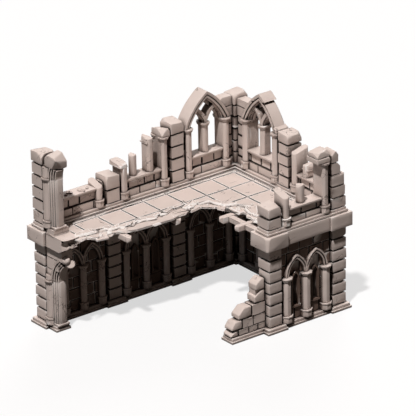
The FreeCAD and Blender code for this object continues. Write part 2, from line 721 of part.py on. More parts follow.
def make_upper_walls():
    window_wall("rear_right", "128")
    window_wall("side_rear", "126")
    window("rear_right", notch=False)
    window("side_rear", notch=True)
    low_wall("rear_left", [])
    low_wall("rear_mid", [("-6.5", "106.5"), ("6.5", "116")])
    low_wall("side_front", [("2", "101")])
    low_wall("front", [("1", "102")])
    whole = {"top": "upper_spring", "ring": True}
    rear, side, front = PARAPETS["rear_mid"], PARAPETS["side_front"], PARAPETS["front"]
    broken_shaft("shaft_rear_left", "rear_left", 1, PARAPETS["rear_left"], "95")
    broken_shaft("shaft_rear_mid_left", "rear_mid", -1, rear, "100", springer=("7", "4"))
    broken_shaft("shaft_rear_mid_right", "rear_mid", 1, rear, springer=("7.5", "6"), **whole)
    broken_shaft("shaft_side_front", "side_front", -1, side, "109")
    broken_shaft("shaft_front_left", "front", 1, front, "101")
    broken_shaft("shaft_front_right", "front", -1, front, springer=("13", "9"), **whole)


make_plinths()
make_ground_bays()
make_piers()
make_return()
make_wing()
make_bands()
make_floor()
make_joists()
make_upper_walls()

doc.recompute()
for item in doc.Objects:
    if {"Invalid", "Error"} & set(item.State):
        raise RuntimeError(f"{item.Label} ({item.Name}) did not compute: {item.State}")
for node in nodes:
    if node.Shape.isNull() or not node.Shape.isValid():
        raise RuntimeError(f"{node.Label} has no valid shape")

os.makedirs("parts", exist_ok=True)
for node in nodes:
    node.Shape.exportStep(f"parts/{node.Label}.step")
print(len(nodes), "nodes")
for node in nodes:
    print(node.Label, len(node.Shape.Solids), round(node.Shape.Volume))
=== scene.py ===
import bpy
import json
import math
import random
from mathutils import Matrix, Vector

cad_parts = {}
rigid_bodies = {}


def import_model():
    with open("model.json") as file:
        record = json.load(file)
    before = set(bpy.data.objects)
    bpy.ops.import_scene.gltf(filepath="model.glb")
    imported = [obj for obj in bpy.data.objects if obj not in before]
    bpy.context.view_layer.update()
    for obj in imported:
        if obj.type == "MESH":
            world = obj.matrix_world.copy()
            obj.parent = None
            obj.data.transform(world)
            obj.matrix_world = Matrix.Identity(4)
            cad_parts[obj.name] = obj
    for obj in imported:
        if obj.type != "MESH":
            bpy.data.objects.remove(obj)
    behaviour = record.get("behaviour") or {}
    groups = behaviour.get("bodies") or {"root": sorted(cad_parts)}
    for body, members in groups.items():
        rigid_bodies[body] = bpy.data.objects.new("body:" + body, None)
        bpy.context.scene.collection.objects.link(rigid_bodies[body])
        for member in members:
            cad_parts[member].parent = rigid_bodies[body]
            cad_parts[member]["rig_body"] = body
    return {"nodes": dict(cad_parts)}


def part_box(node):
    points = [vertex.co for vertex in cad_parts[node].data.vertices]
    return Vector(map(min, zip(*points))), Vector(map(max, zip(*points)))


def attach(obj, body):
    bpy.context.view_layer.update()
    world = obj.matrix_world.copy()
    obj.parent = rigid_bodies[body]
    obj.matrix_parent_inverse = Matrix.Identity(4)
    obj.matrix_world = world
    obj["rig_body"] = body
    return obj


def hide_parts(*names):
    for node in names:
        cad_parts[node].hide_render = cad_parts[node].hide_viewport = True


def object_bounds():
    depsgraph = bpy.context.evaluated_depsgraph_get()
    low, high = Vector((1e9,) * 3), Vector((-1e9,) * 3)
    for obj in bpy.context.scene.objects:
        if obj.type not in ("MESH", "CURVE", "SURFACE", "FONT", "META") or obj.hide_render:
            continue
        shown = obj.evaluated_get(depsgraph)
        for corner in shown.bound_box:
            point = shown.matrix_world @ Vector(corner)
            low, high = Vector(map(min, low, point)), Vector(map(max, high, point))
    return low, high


bpy.context.preferences.edit.use_global_undo = False
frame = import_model()
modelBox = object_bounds()
mm = 0.001
chance = random.Random(7)


def camel(node):  # pier_upper_front_left becomes pierUpperFrontLeft
    first, *rest = node.split("_")
    return first + "".join(word.capitalize() for word in rest)


def box(node):  # a node's lowest and highest corners in millimetres
    low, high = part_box(node)
    return low / mm, high / mm


def wobble(amount):
    return chance.uniform(-amount, amount)


def pickOnly(piece):
    bpy.ops.object.select_all(action="DESELECT")
    piece.select_set(True)
    bpy.context.view_layer.objects.active = piece


# shader helpers: an end or a source is another node's output, and an end may also be a colour

def addMix(nodes, links, factor, first, second):
    mix = nodes.new("ShaderNodeMix")
    mix.data_type = "RGBA"
    links.new(factor, mix.inputs["Factor"])
    for socket, end in (("A", first), ("B", second)):
        if isinstance(end, tuple):
            mix.inputs[socket].default_value = end
        else:
            links.new(end, mix.inputs[socket])
    return mix.outputs["Result"]


def addRange(nodes, links, source, lowest, highest, start=0, end=1):
    span = nodes.new("ShaderNodeMapRange")
    for socket, value in (("From Min", lowest), ("From Max", highest), ("To Min", start), ("To Max", end)):
        span.inputs[socket].default_value = value
    links.new(source, span.inputs["Value"])
    return span.outputs["Result"]


def addNoise(nodes, links, place, scale, detail=None):
    noise = nodes.new("ShaderNodeTexNoise")
    noise.inputs["Scale"].default_value = scale
    if detail:
        noise.inputs["Detail"].default_value = detail
    links.new(place, noise.inputs["Vector"])
    return noise


def addHollow(nodes, links, reach, span):  # how open the surface is within that reach
    hollow = nodes.new("ShaderNodeAmbientOcclusion")
    hollow.samples = 8
    hollow.inputs["Distance"].default_value = reach
    return addRange(nodes, links, hollow.outputs["AO"], *span)


studio = {
    "floorSize": 6.0,
    "floorSeen": (0.95, 0.95, 0.955, 1),
    "floorBounce": (0.07, 0.065, 0.06, 1),  # what the floor throws back on the object
    "floorWhite": 0.66,
    "worldLight": 0.05,
    "worldTint": (1, 0.8, 0.68, 1),
    "lamps": {  # direction towards the lamp, strength, colour, spread in degrees
        "keyLamp": ((-0.38, -0.23, 0.895), 3.1, (1, 0.97, 0.95), 3),
        "coolLamp": ((-0.94, -0.1, 0.33), 0.12, (0.72, 0.88, 1), 25),
        "rearLamp": ((0.62, 0.62, 0.48), 0.9, (1, 0.97, 0.95), 30),
    },
}

viewpoint = {
    "azimuth": -37.67,
    "elevation": 23.65,
    "roll": -1.03,
    "lens": 380,
    "distance": 3.0075,
    "aim": (70.2, 70.5, 36.9),  # a point on the middle of the view, in millimetres
}


def makeStudio():
    bpy.ops.object.select_all(action="DESELECT")
    bpy.ops.mesh.primitive_plane_add(size=studio["floorSize"])
    floor = bpy.context.active_object
    floor.name = "studioFloor"
    paint = bpy.data.materials.new("studioFloorPaint")
    paint.use_nodes = True
    nodes, links = paint.node_tree.nodes, paint.node_tree.links
    nodes.clear()
    seen = nodes.new("ShaderNodeLightPath").outputs["Is Camera Ray"]
    matt = nodes.new("ShaderNodeBsdfDiffuse")
    links.new(addMix(nodes, links, seen, studio["floorBounce"], studio["floorSeen"]), matt.inputs["Color"])
    glow = nodes.new("ShaderNodeEmission")
    share = nodes.new("ShaderNodeMath")
    share.operation = "MULTIPLY"
    share.inputs[1].default_value = studio["floorWhite"]
    links.new(seen, share.inputs[0])
    both = nodes.new("ShaderNodeMixShader")
    links.new(share.outputs[0], both.inputs["Fac"])
    links.new(matt.outputs[0], both.inputs[1])
    links.new(glow.outputs[0], both.inputs[2])
    links.new(both.outputs[0], nodes.new("ShaderNodeOutputMaterial").inputs["Surface"])
    floor.data.materials.append(paint)

    world = bpy.data.worlds.new("studioWorld")
    bpy.context.scene.world = world
    world.use_nodes = True
    nodes, links = world.node_tree.nodes, world.node_tree.links
    seen = nodes.new("ShaderNodeLightPath").outputs["Is Camera Ray"]
    background, white = nodes["Background"].inputs, (1, 1, 1, 1)
    links.new(addMix(nodes, links, seen, studio["worldTint"], white), background["Color"])
    links.new(addRange(nodes, links, seen, 0, 1, studio["worldLight"], 1), background["Strength"])

    for name, (towards, strength, tint, spread) in studio["lamps"].items():
        bpy.ops.object.light_add(type="SUN", rotation=Vector(towards).to_track_quat("Z", "Y").to_euler())
        lamp = bpy.context.active_object
        lamp.name = name
        lamp.data.energy = strength
        lamp.data.color = tint
        lamp.data.angle = math.radians(spread)
    bpy.context.scene.view_settings.view_transform = "Standard"


def makeCamera():
    around, up = math.radians(viewpoint["azimuth"]), math.radians(viewpoint["elevation"])
    back = Vector((math.sin(around) * math.cos(up), -math.cos(around) * math.cos(up), math.sin(up)))
    aim = Vector(viewpoint["aim"]) * mm
    middle = (modelBox[0] + modelBox[1]) / 2
    aim += back * (middle - aim).dot(back)
    bpy.ops.object.camera_add(location=aim + back * viewpoint["distance"])
    camera = bpy.context.active_object
    camera.name = "viewCamera"
    camera.data.lens = viewpoint["lens"]
    camera.data.sensor_width = 36
    camera.data.clip_end = 20
    roll = Matrix.Rotation(math.radians(viewpoint["roll"]), 3, "Z")
    turn = back.to_track_quat("Z", "Y").to_matrix() @ roll
    camera.rotation_euler = turn.to_euler()
    bpy.context.scene.camera = camera


plastic = {
    "light": (0.82, 0.70, 0.645, 1),
    "shade": (0.67, 0.565, 0.515, 1),
    "paintedShadeLight": (0.27, 0.19, 0.155, 1),  # painted shade: a darker copy of the plastic for the ground storey's brick walls, standing for the shadow under the floor and behind the arcades
    "paintedShadeDark": (0.16, 0.108, 0.086, 1),
    # near-black painted shade for the grooves
    "dark": (0.012, 0.006, 0.005, 1),
    # painted highlight colour for sharp edges
    "edge": (0.93, 0.88, 0.85, 1),
    # brown painted shade for deep recesses, also the colour of the hairline cracks
    "recess": (0.10, 0.062, 0.048, 1),
    "roughness": 0.62,
    "specular": 0.35,
    "grainSize": 900,
    "grainStrength": 0.3,
    "grainDepth": 0.0003,  # metres, as are the two reaches below
    "patchSize": 55,
    "cavity": 0.0036,
    "cavitySpan": (0.28, 0.78),  # how shut in a groove is, from full painted shade to none
    # reach and span of the painted shade in deep recesses
    "recessReach": 0.017,
    "recessSpan": (0.2, 0.72),
    "crackSize": 75,
    "crackWidth": 0.018,
    "crackBend": 0.012,
    "crackPlaces": (0.56, 0.6),
    "edgeHighlightSpan": (0.532, 0.61),
}


def makePlastic(name, light, shade):
    finish = bpy.data.materials.new(name)
    finish.use_nodes = True
    nodes, links = finish.node_tree.nodes, finish.node_tree.links
    shader = nodes["Principled BSDF"]
    shader.inputs["Roughness"].default_value = plastic["roughness"]
    shader.inputs["Specular IOR Level"].default_value = plastic["specular"]
    place = nodes.new("ShaderNodeTexCoord").outputs["Object"]

    patches = addNoise(nodes, links, place, plastic["patchSize"], 4)  # tone differs from block to block
    tone = addMix(nodes, links, patches.outputs["Fac"], shade, light)
    grooveShade = addHollow(nodes, links, plastic["cavity"], plastic["cavitySpan"])
    recessShade = addHollow(nodes, links, plastic["recessReach"], plastic["recessSpan"])
    tone = addMix(nodes, links, recessShade, plastic["recess"], tone)  # painted shade: brown darkening in deep recesses
    tone = addMix(nodes, links, grooveShade, plastic["dark"], tone)  # painted shade: near-black darkening in the grooves, where shade falls

    bend = addNoise(nodes, links, place, plastic["crackSize"] * 2.5, 3)  # hairline cracks, in few places
    bent = nodes.new("ShaderNodeMix")
    bent.data_type = "VECTOR"
    bent.inputs["Factor"].default_value = plastic["crackBend"]
    links.new(place, bent.inputs["A"])
    links.new(bend.outputs["Color"], bent.inputs["B"])
    cells = nodes.new("ShaderNodeTexVoronoi")
    cells.feature = "DISTANCE_TO_EDGE"
    cells.inputs["Scale"].default_value = plastic["crackSize"]
    links.new(bent.outputs["Result"], cells.inputs["Vector"])
    line = addRange(nodes, links, cells.outputs["Distance"], 0, plastic["crackWidth"], 1, 0)
    where = addNoise(nodes, links, place, plastic["patchSize"] * 1.3)
    crack = nodes.new("ShaderNodeMath")
    crack.operation = "MULTIPLY"
    links.new(line, crack.inputs[0])
    links.new(addRange(nodes, links, where.outputs["Fac"], *plastic["crackPlaces"]), crack.inputs[1])
    tone = addMix(nodes, links, crack.outputs[0], tone, plastic["recess"])

    shape = nodes.new("ShaderNodeNewGeometry")  # painted highlight: pale colour on sharp edges
    edgeHighlight = addRange(nodes, links, shape.outputs["Pointiness"], *plastic["edgeHighlightSpan"])
    links.new(addMix(nodes, links, edgeHighlight, tone, plastic["edge"]), shader.inputs["Base Color"])

    grain = addNoise(nodes, links, place, plastic["grainSize"], 5)
    bump = nodes.new("ShaderNodeBump")
    bump.inputs["Strength"].default_value = plastic["grainStrength"]
    bump.inputs["Distance"].default_value = plastic["grainDepth"]
    links.new(grain.outputs["Fac"], bump.inputs["Height"])
    links.new(bump.outputs["Normal"], shader.inputs["Normal"])
    return finish


skin = makePlastic("mouldedPlastic", plastic["light"], plastic["shade"])
# painted shade: the darker copy of the plastic that stands for the shadow on the ground storey's walls
paintedShadeSkin = makePlastic("paintedShadePlastic", plastic["paintedShadeLight"], plastic["paintedShadeDark"])
roughness = bpy.data.textures.new("handCutRoughness", "CLOUDS")
roughness.noise_scale = 0.006
roughness.noise_depth = 2


# modelling helpers: places and sizes are in millimetres

def openPiece(name):  # an empty mesh in edit mode, which shapes are then added to
    bpy.ops.object.select_all(action="DESELECT")
    bpy.ops.mesh.primitive_cube_add(size=mm, location=(0, 0, 0))
    piece = bpy.context.active_object
    piece.name = name
    bpy.ops.object.mode_set(mode="EDIT")
    bpy.ops.mesh.select_all(action="SELECT")
    bpy.ops.mesh.delete(type="VERT")
    return piece


def addBlock(low, high, turn=(0, 0, 0)):
    middle = [(a + b) / 2 * mm for a, b in zip(low, high)]
    extent = [max(b - a, 0.05) * mm for a, b in zip(low, high)]
    angles = [math.radians(a) for a in turn]
    bpy.ops.mesh.primitive_cube_add(size=1, location=middle, rotation=angles, scale=extent)


def breakOff(point, outward, fill=True):  # cuts away what lies beyond a plane, on the selected shape only
    bpy.ops.mesh.select_linked(delimit=set())
    bpy.ops.mesh.bisect(
        plane_co=Vector(point) * mm, plane_no=Vector(outward).normalized(),
        use_fill=fill, clear_outer=True, threshold=1e-7,
    )
    bpy.ops.mesh.select_linked(delimit=set())


def roundOff(amount, steps=2):  # softens every edge of the selected shape
    bpy.ops.mesh.bevel(offset=amount * mm, segments=steps, affect="EDGES", clamp_overlap=True)
    bpy.ops.mesh.select_linked(delimit=set())


def addStone(low, high, loose=0.35, chip=0.35, tilt=1.0):  # a hand-cut block, sometimes with a corner off
    low = [a + abs(wobble(loose)) * 0.6 for a in low]
    high = [a - abs(wobble(loose)) * 0.6 for a in high]
    addBlock(low, high, (wobble(tilt), wobble(tilt), wobble(tilt)))
    if chance.random() < chip:
        side = Vector([chance.choice((-1, 1)) for _ in range(3)])
        half = (Vector(high) - Vector(low)) / 2
        corner = (Vector(low) + Vector(high)) / 2 + Vector([s * h for s, h in zip(side, half)])
        away = Vector([s * chance.uniform(0.4, 1) for s in side])
        breakOff(corner - away.normalized() * chance.uniform(0.5, 1.3), away)


def addBroken(low, high, cuts, loose=0.4):  # a stone whose top or end is broken along the given planes
    addBlock(low, high, (wobble(1), wobble(1), wobble(1)))
    for point, outward in cuts:
        breakOff(point, Vector(outward) + Vector((wobble(0.12), wobble(0.12), wobble(0.08))))


def addCap(under, over, chips, slope=0.1):  # a top stone, nearly flat, with its edges knocked off
    addBlock(under, over, (wobble(1), wobble(1), wobble(1)))
    middle = (Vector(under) + Vector(over)) / 2
    half = (Vector(over) - Vector(under)) / 2
    breakOff((middle.x, middle.y, over[2] - 0.5), (wobble(slope), wobble(slope), 1))
    for x, y, deep in chips:
        edge = middle + Vector((x * half.x, y * half.y, half.z))
        away = Vector((x, y, chance.uniform(0.6, 1.1)))
        breakOff(edge - away.normalized() * deep, away)
    roundOff(0.8, 3)


def addRubble(centre, reach, count=1, size=1.3):  # worn lumps with a few flat breaks
    for _ in range(count):
        spot = Vector(centre) + Vector([wobble(r) for r in reach])
        big = size * chance.uniform(0.7, 1.3)
        bpy.ops.mesh.primitive_ico_sphere_add(subdivisions=2, radius=big * mm, location=spot * mm)
        squat = (1, chance.uniform(0.75, 1), chance.uniform(0.6, 0.85))
        bpy.ops.transform.resize(value=squat, center_override=spot * mm)
        for _ in range(3):
            away = Vector((wobble(1), wobble(1), chance.uniform(-0.4, 1)))
            if away.length > 0.2:
                breakOff(spot + away.normalized() * big * 0.6, away)


def addPlate(spot, out, wide, deep, thick):  # a thin flake with an irregular outline
    turn = math.degrees(math.atan2(out.y, out.x)) + wobble(22)
    centre = spot - out * chance.uniform(0.1, 0.6) * deep
    addBlock(
        centre - Vector((deep, wide, thick)), centre + Vector((deep, wide, 0.1)),
        (wobble(4), wobble(4), turn),
    )
    along = Vector((-out.y, out.x, 0))
    for way in (-1, 1):
        away = along * way + out * chance.uniform(-0.9, 0.9)
        breakOff(centre + along * way * wide * chance.uniform(0.5, 0.9), away)
    tip = centre + out * deep * chance.uniform(0.4, 0.8)
    breakOff(tip, out + along * wobble(0.5) + Vector((0, 0, chance.uniform(0.3, 1.2))))
    roundOff(0.4)


def facesOnly(on):
    bpy.context.tool_settings.mesh_select_mode = (not on, False, on)


def frameFaces(piece, smallest=9.0, thick=0.45):  # narrow rims round large faces keep the painted edge highlight narrow
    facesOnly(True)
    for face in piece.data.polygons:
        face.select = face.area > smallest * mm * mm
    bpy.ops.object.mode_set(mode="EDIT")
    bpy.ops.mesh.inset(thickness=thick * mm, use_individual=True)
    bpy.ops.mesh.inset(thickness=thick * mm, use_individual=True)
    bpy.ops.object.mode_set(mode="OBJECT")
    facesOnly(False)


def closePiece(piece, bevel=0.45, rough=0.3, cuts=2, steps=2):
    bpy.ops.mesh.select_all(action="SELECT")
    if cuts:
        bpy.ops.mesh.subdivide(number_cuts=cuts)
    bpy.ops.mesh.normals_make_consistent(inside=False)
    bpy.ops.object.mode_set(mode="OBJECT")
    round_ = piece.modifiers.new("edges", "BEVEL")
    round_.width = bevel * mm
    round_.segments = steps
    round_.limit_method = "ANGLE"
    round_.angle_limit = math.radians(28)
    bpy.ops.object.modifier_apply(modifier=round_.name)
    if rough:
        rub = piece.modifiers.new("handCut", "DISPLACE")
        rub.texture = roughness
        rub.texture_coords = "LOCAL"
        rub.strength = rough * mm
        rub.mid_level = 0.8
        bpy.ops.object.modifier_apply(modifier=rub.name)
    return piece


paintedShadeNodes = set()  # those whose parts already have their own tone, such as the painted shade of the ground storey's walls


def lookOf(piece, node, *others):  # the finished piece stands for its node and moves with its body
    pickOnly(piece)
    bpy.ops.object.shade_smooth_by_angle(angle=math.radians(38))
    if not piece.data.materials or node not in paintedShadeNodes:
        piece.data.materials.clear()
        piece.data.materials.append(skin)
    piece.name = camel(node)
    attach(piece, frame["nodes"][node]["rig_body"])
    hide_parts(node, *others)
    return piece


def joinAll(pieces):
    bpy.ops.object.select_all(action="DESELECT")
    for piece in pieces:
        piece.select_set(True)
    bpy.context.view_layer.objects.active = pieces[0]
    if len(pieces) > 1:
        bpy.ops.object.join()
    return bpy.context.active_object


def settle(piece, x, y, turn):  # from its bay's own frame to its place on the building
    pickOnly(piece)
    piece.rotation_euler.z = math.radians(turn)
    piece.location = (x * mm, y * mm, 0)
    bpy.ops.object.transform_apply(location=True, rotation=True, scale=False)
    return piece


# octagonal shafts and pointed arches

shaftLook = {"base": 4.2, "ring": 1.9, "flare": 0.85}


def addDrum(x, y, foot, top, radius):  # one eight-sided drum
    bpy.ops.mesh.primitive_cylinder_add(
        vertices=8, radius=radius * mm / math.cos(math.pi / 8), depth=(top - foot) * mm,
        location=(x * mm, y * mm, (foot + top) / 2 * mm), rotation=(0, 0, math.pi / 8),
    )


def addShaft(x, y, foot, top, radius, capital=True, broken=None, base=True):
    wide = radius + shaftLook["flare"]
    block = foot + shaftLook["base"]
    addDrum(x, y, foot, top, radius)
    if broken:
        breakOff(*broken)
        roundOff(0.35)
    if base:
        addDrum(x, y, foot, block, wide)
        addDrum(x, y, block, block + 1.1, wide + 0.4)
    if capital:
        ring = shaftLook["ring"]
        addDrum(x, y, top - ring, top - ring * 0.45, wide - 0.1)
        addDrum(x, y, top - ring * 0.4, top + 0.3, wide + 0.35)


def addRib(x, y0, y1, spring, wide, radius, angle, side, drop=0, meet=None, steps=9, cut=None):
    # a curved rib that leans over towards side; its arc's centre lies drop below the springing
    section = ((x - side * wide / 2) * mm, (y0 + y1) / 2 * mm, (spring - drop) * mm)
    bpy.ops.mesh.primitive_plane_add(size=mm, location=section)
    bpy.ops.transform.resize(value=(wide, y1 - y0, 1), center_override=section)
    centre = ((x + side * radius) * mm, 0, (spring - drop) * mm)
    bpy.ops.mesh.spin(steps=steps, angle=angle, center=centre, axis=(0, -side, 0))
    bpy.ops.mesh.select_linked(delimit=set())
    if drop:
        breakOff((0, 0, spring), (0, 0, -1))
    if meet is not None:
        breakOff((meet, 0, spring), (side, 0, 0))
    if cut:
        breakOff(*cut)


def addArch(x, spring, half, rise, inset, wide, y0, y1, steps=9, bow=90, cut=None):
    # a pointed ring inside an arch of that half width; a small bow, in degrees, straightens its flanks
    chord = math.atan2(rise, half)
    bend = min(math.radians(bow), math.pi / 2 - chord)
    radius = math.hypot(half, rise) / (2 * math.sin(bend))
    start = chord + bend
    drop = radius * math.cos(start)
    inner = radius - inset - wide
    reach = radius * math.sin(start) - half  # from the meeting line to the arc's centre
    angle = math.acos(reach / (radius - inset)) + 0.04
    for side in (-1, 1):
        addRib(
            x + side * reach - side * inner, y0, y1, spring, wide, inner, angle, side,
            drop=drop, meet=x, steps=steps, cut=cut,
        )


# bricks and piers

brickLook = {"course": 8.4, "joint": 1.0, "proud": 1.4, "short": 8.0, "long": 15.0}


def openRuns(start, end, low, high, gaps):  # what is left of a course beside the gaps in it
    runs = [(start, end)]
    for left, right, foot, top in gaps:
        if top > low + 0.5 and foot < high - 0.5:
            cutRuns = []
            for a, b in runs:
                cutRuns += [(a, min(b, left)), (max(a, right), b)]
            runs = [(a, b) for a, b in cutRuns if b - a > 1.6]
    return runs


def addBricks(start, end, foot, top, face, side, gaps=(), course=None, proud=None):
    # rough courses that stand out from a wall's face; side is the way they face along Y
    course = course or brickLook["course"]
    proud = proud or brickLook["proud"]
    joint = brickLook["joint"] / 2
    low, row = foot, 0
    while low < top - 1.2:
        high = min(low + course, top)
        if top - high < 2:
            high = top
        for a, b in openRuns(start, end, low, high, gaps):
            x = a
            while x < b - 0.5:
                long = chance.uniform(brickLook["short"], brickLook["long"])
                if row % 2 and x == a:
                    long *= 0.6
                stop = b if b - x - long < 4 else x + long
                out = face + side * (proud + wobble(0.25))
                deep = face - side * 1.4
                addStone(
                    (x + joint, min(out, deep), low + joint), (stop - joint, max(out, deep), high - joint),
                    loose=0.3, chip=0.3, tilt=0.8,
                )
                x = stop
        low, row = high, row + 1


pierLook = {"course": 8.4, "joint": 1.0, "groove": 1.6, "jitter": 0.45}


def makePier(node, brokenTop=()):
    low, high = box(node)
    piece = openPiece(node)
    groove, joint = pierLook["groove"], pierLook["joint"] / 2
    inset = Vector((groove, groove, 0))
    count = max(1, round((high.z - low.z) / pierLook["course"]))
    tall = (high.z - low.z) / count
    coreTop = high.z - (tall * 0.5 if brokenTop else 0)
    addBlock(low + inset, Vector((high.x - groove, high.y - groove, coreTop)))
    for step in range(count):
        foot = low.z + step * tall
        under, over = Vector((low.x, low.y, foot + joint)), Vector((high.x, high.y, foot + tall - joint))
        if step == count - 1 and brokenTop:
            over.z = high.z
            addCap(under, over, brokenTop)
        else:
            narrow = abs(wobble(pierLook["jitter"]))
            addStone(
                under + Vector((narrow, abs(wobble(0.35)), 0)),
                over - Vector((abs(wobble(0.35)), narrow, 0)),
                loose=0.3, chip=0.45, tilt=0.7,
            )
    closePiece(piece, bevel=0.55, rough=0.45)
    return lookOf(piece, node)


# copies of plain long members, with worn edges

def wornCopy(node, bevel=0.5, rough=0.3, more=None):
    source = frame["nodes"][node]
    piece = bpy.data.objects.new(node + "Copy", source.data.copy())
    bpy.context.scene.collection.objects.link(piece)
    pickOnly(piece)
    bpy.ops.object.mode_set(mode="EDIT")
    bpy.ops.mesh.select_all(action="SELECT")
    bpy.ops.mesh.remove_doubles(threshold=1e-6)
    bpy.ops.mesh.dissolve_limited(angle_limit=0.02)
    if more:
        more()
    closePiece(piece, bevel=bevel, rough=rough, cuts=0)
    frameFaces(piece)
    return lookOf(piece, node)


print("stage: studio and camera")
makeStudio()
makeCamera()

# the bays: the middle of each, its turn and its clear width

rearLine = sum(c.y for c in box("pier_ground_rear_left")) / 2
sideLine = sum(c.x for c in box("pier_ground_rear_right")) / 2
frontLine = sum(c.y for c in box("pier_ground_front_right")) / 2
bays = {}
for name in ("rear_left", "rear_mid", "rear_right", "side_rear", "side_front", "front"):
    low, high = box("wall_" + name)
    middle = (low + high) / 2
    if name.startswith("side"):
        bays[name] = (sideLine, middle.y, -90, high.y - low.y)
    elif name == "front":
        bays[name] = (middle.x, frontLine, 180, high.x - low.x)
    else:
        bays[name] = (middle.x, rearLine, 0, high.x - low.x)

bayLook = {
    "coreHalf": 2.1, "shaftGap": 5.1, "shaftLine": 4.3, "shaftRadius": 2.6, "stoutRadius": 3.2,
    "spring": 37.0, "rise": 15.5, "ring": 2.6, "ringDeep": 3.0,
    "mouldings": ((0, 1.2, 0.7), (1.2, 0.8, -0.2), (2.0, 1.0, 0.3)),  # inset, width, how far past ringDeep
    "slitHalf": 2.3, "slitFoot": 14.0, "slitSpring": 33.0, "slitRise": 4.5, "slitFrame": 1.3,
}


def addArcade(clear, side):  # three shafts and two pointed arches against one face
    look = bayLook
    reach = clear / 2 - look["shaftGap"]
    radius = look["stoutRadius"] if side > 0 else look["shaftRadius"]
    foot = box("wall_rear_left")[0].z
    for spot in (-1, 0, 1):
        addShaft(spot * reach, side * look["shaftLine"], foot, look["spring"], radius)
    wall = look["coreHalf"]
    half = (reach + look["ring"]) / 2
    for spot in (-1, 1):
        for inset, wide, deeper in look["mouldings"]:
            deep = look["ringDeep"] + deeper
            near, far = sorted((side * (wall - 1), side * (wall + deep)))
            addArch(spot * reach / 2, look["spring"], half, look["rise"], inset, wide, near, far)


def slitGaps(clear):
    reach = clear / 2 - bayLook["shaftGap"]
    wide = bayLook["slitHalf"] + bayLook["slitFrame"]
    top = bayLook["slitSpring"] + bayLook["slitRise"] + 2.5
    return [(s * reach / 2 - wide, s * reach / 2 + wide, bayLook["slitFoot"] - 2, top) for s in (-1, 1)]


def cutSlits(piece, clear):  # pointed holes through the wall's core
    reach = clear / 2 - bayLook["shaftGap"]
    for side in (-1, 1):
        x = side * reach / 2
        tool = openPiece("slitTool")
        half, foot, spring = bayLook["slitHalf"], bayLook["slitFoot"], bayLook["slitSpring"]
        addBlock((x - half, -8, foot), (x + half, 8, spring + bayLook["slitRise"]))
        for way in (-1, 1):
            breakOff((x + way * half, 0, spring), (way * 0.85, 0, 0.5))
        bpy.ops.object.mode_set(mode="OBJECT")
        bite = piece.modifiers.new("slit", "BOOLEAN")
        bite.operation = "DIFFERENCE"
        bite.solver = "EXACT"
        bite.object = tool
        bpy.context.view_layer.objects.active = piece
        bpy.ops.object.modifier_apply(modifier=bite.name)
        bpy.data.objects.remove(tool)


def addSlitFrame(clear, side):  # the raised moulding round each slit
    reach = clear / 2 - bayLook["shaftGap"]
    half, wide = bayLook["slitHalf"], bayLook["slitFrame"]
    foot, spring = bayLook["slitFoot"], bayLook["slitSpring"]
    near, far = sorted((side * 1.2, side * (bayLook["coreHalf"] + 1.9)))
    for s in (-1, 1):
        x = s * reach / 2
        for way in (-1, 1):
            inner, outer = sorted((x + way * half, x + way * (half + wide)))
            addBlock((inner, near, foot), (outer, far, spring + 0.3))
        addArch(x, spring, half + wide, bayLook["slitRise"] + wide * 1.6, 0, wide, near, far, steps=5)
        sillFar = far + side * 0.5 if side > 0 else far
        addBlock((x - half - wide - 0.5, near, foot - 1.6), (x + half + wide + 0.5, sillFar, foot))


def makeGroundBay(name):
    x, y, turn, clear = bays[name]
    low, high = box("wall_" + name)
    pierced = name in ("rear_mid", "front")
    gaps = slitGaps(clear) if pierced else []
    shown = 1 if name == "front" else -1
    core = openPiece("core")
    addBlock((-clear / 2, -bayLook["coreHalf"], low.z), (clear / 2, bayLook["coreHalf"], high.z))
    bpy.ops.object.mode_set(mode="OBJECT")
    if pierced:
        cutSlits(core, clear)
    # painted shade: the wall's core and bricks take the darker copy of the plastic
    core.data.materials.append(paintedShadeSkin)
    wall = openPiece("wall")
    for side in (-1, 1):
        addBricks(-clear / 2, clear / 2, low.z, high.z, side * bayLook["coreHalf"], side, gaps)
        if pierced:
            addSlitFrame(clear, side)
    closePiece(wall, bevel=0.4, rough=0.3)
    wall.data.materials.append(paintedShadeSkin)
    back = openPiece("backArcade")
    addArcade(clear, -shown)
    closePiece(back, bevel=0.35, rough=0.18)
    back.data.materials.append(skin)
    paintedShadeNodes.add("wall_" + name)
    lookOf(settle(joinAll([wall, core, back]), x, y, turn), "wall_" + name)
    arcade = openPiece("arcade")
    addArcade(clear, shown)
    closePiece(arcade, bevel=0.35, rough=0.18)
    lookOf(settle(arcade, x, y, turn), "arcade_" + name)


print("stage: ground storey")
for name in bays:
    makeGroundBay(name)
pierNames = (
    "rear_left", "rear_mid_left", "rear_mid_right", "rear_right", "side_mid", "front_left", "front_right",
)
for name in pierNames:
    makePier("pier_ground_" + name)

plinthLook = {"step": 2.0, "half": 7.0, "padOut": 2.6, "inset": 0.9, "returnIn": 0.7, "wingOut": 1.8}
pierSpots = {}
for name in pierNames:
    low, high = box("pier_ground_" + name)
    pierSpots[name] = (low + high) / 2
cornerHalf = (box("pier_ground_rear_left")[1].x - box("pier_ground_rear_left")[0].x) / 2


def addSteps(low, high, step, inset):  # two slabs, the upper one set in
    addBlock(low, (high[0], high[1], low[2] + step))
    addBlock((low[0] + inset, low[1] + inset, low[2]), (high[0] - inset, high[1] - inset, low[2] + 2 * step))


def addPad(spot, half, foot, step, inset):
    addSteps((spot.x - half, spot.y - half, foot), (spot.x + half, spot.y + half), step, inset)


def addRun(a, b, half, foot, step, inset):  # a strip of steps between two piers
    (x0, x1), (y0, y1) = sorted((a.x, b.x)), sorted((a.y, b.y))
    if x1 - x0 > y1 - y0:
        addSteps((x0, y0 - half, foot), (x1, y0 + half), step, inset)
    else:
        addSteps((x0 - half, y0, foot), (x0 + half, y1), step, inset)


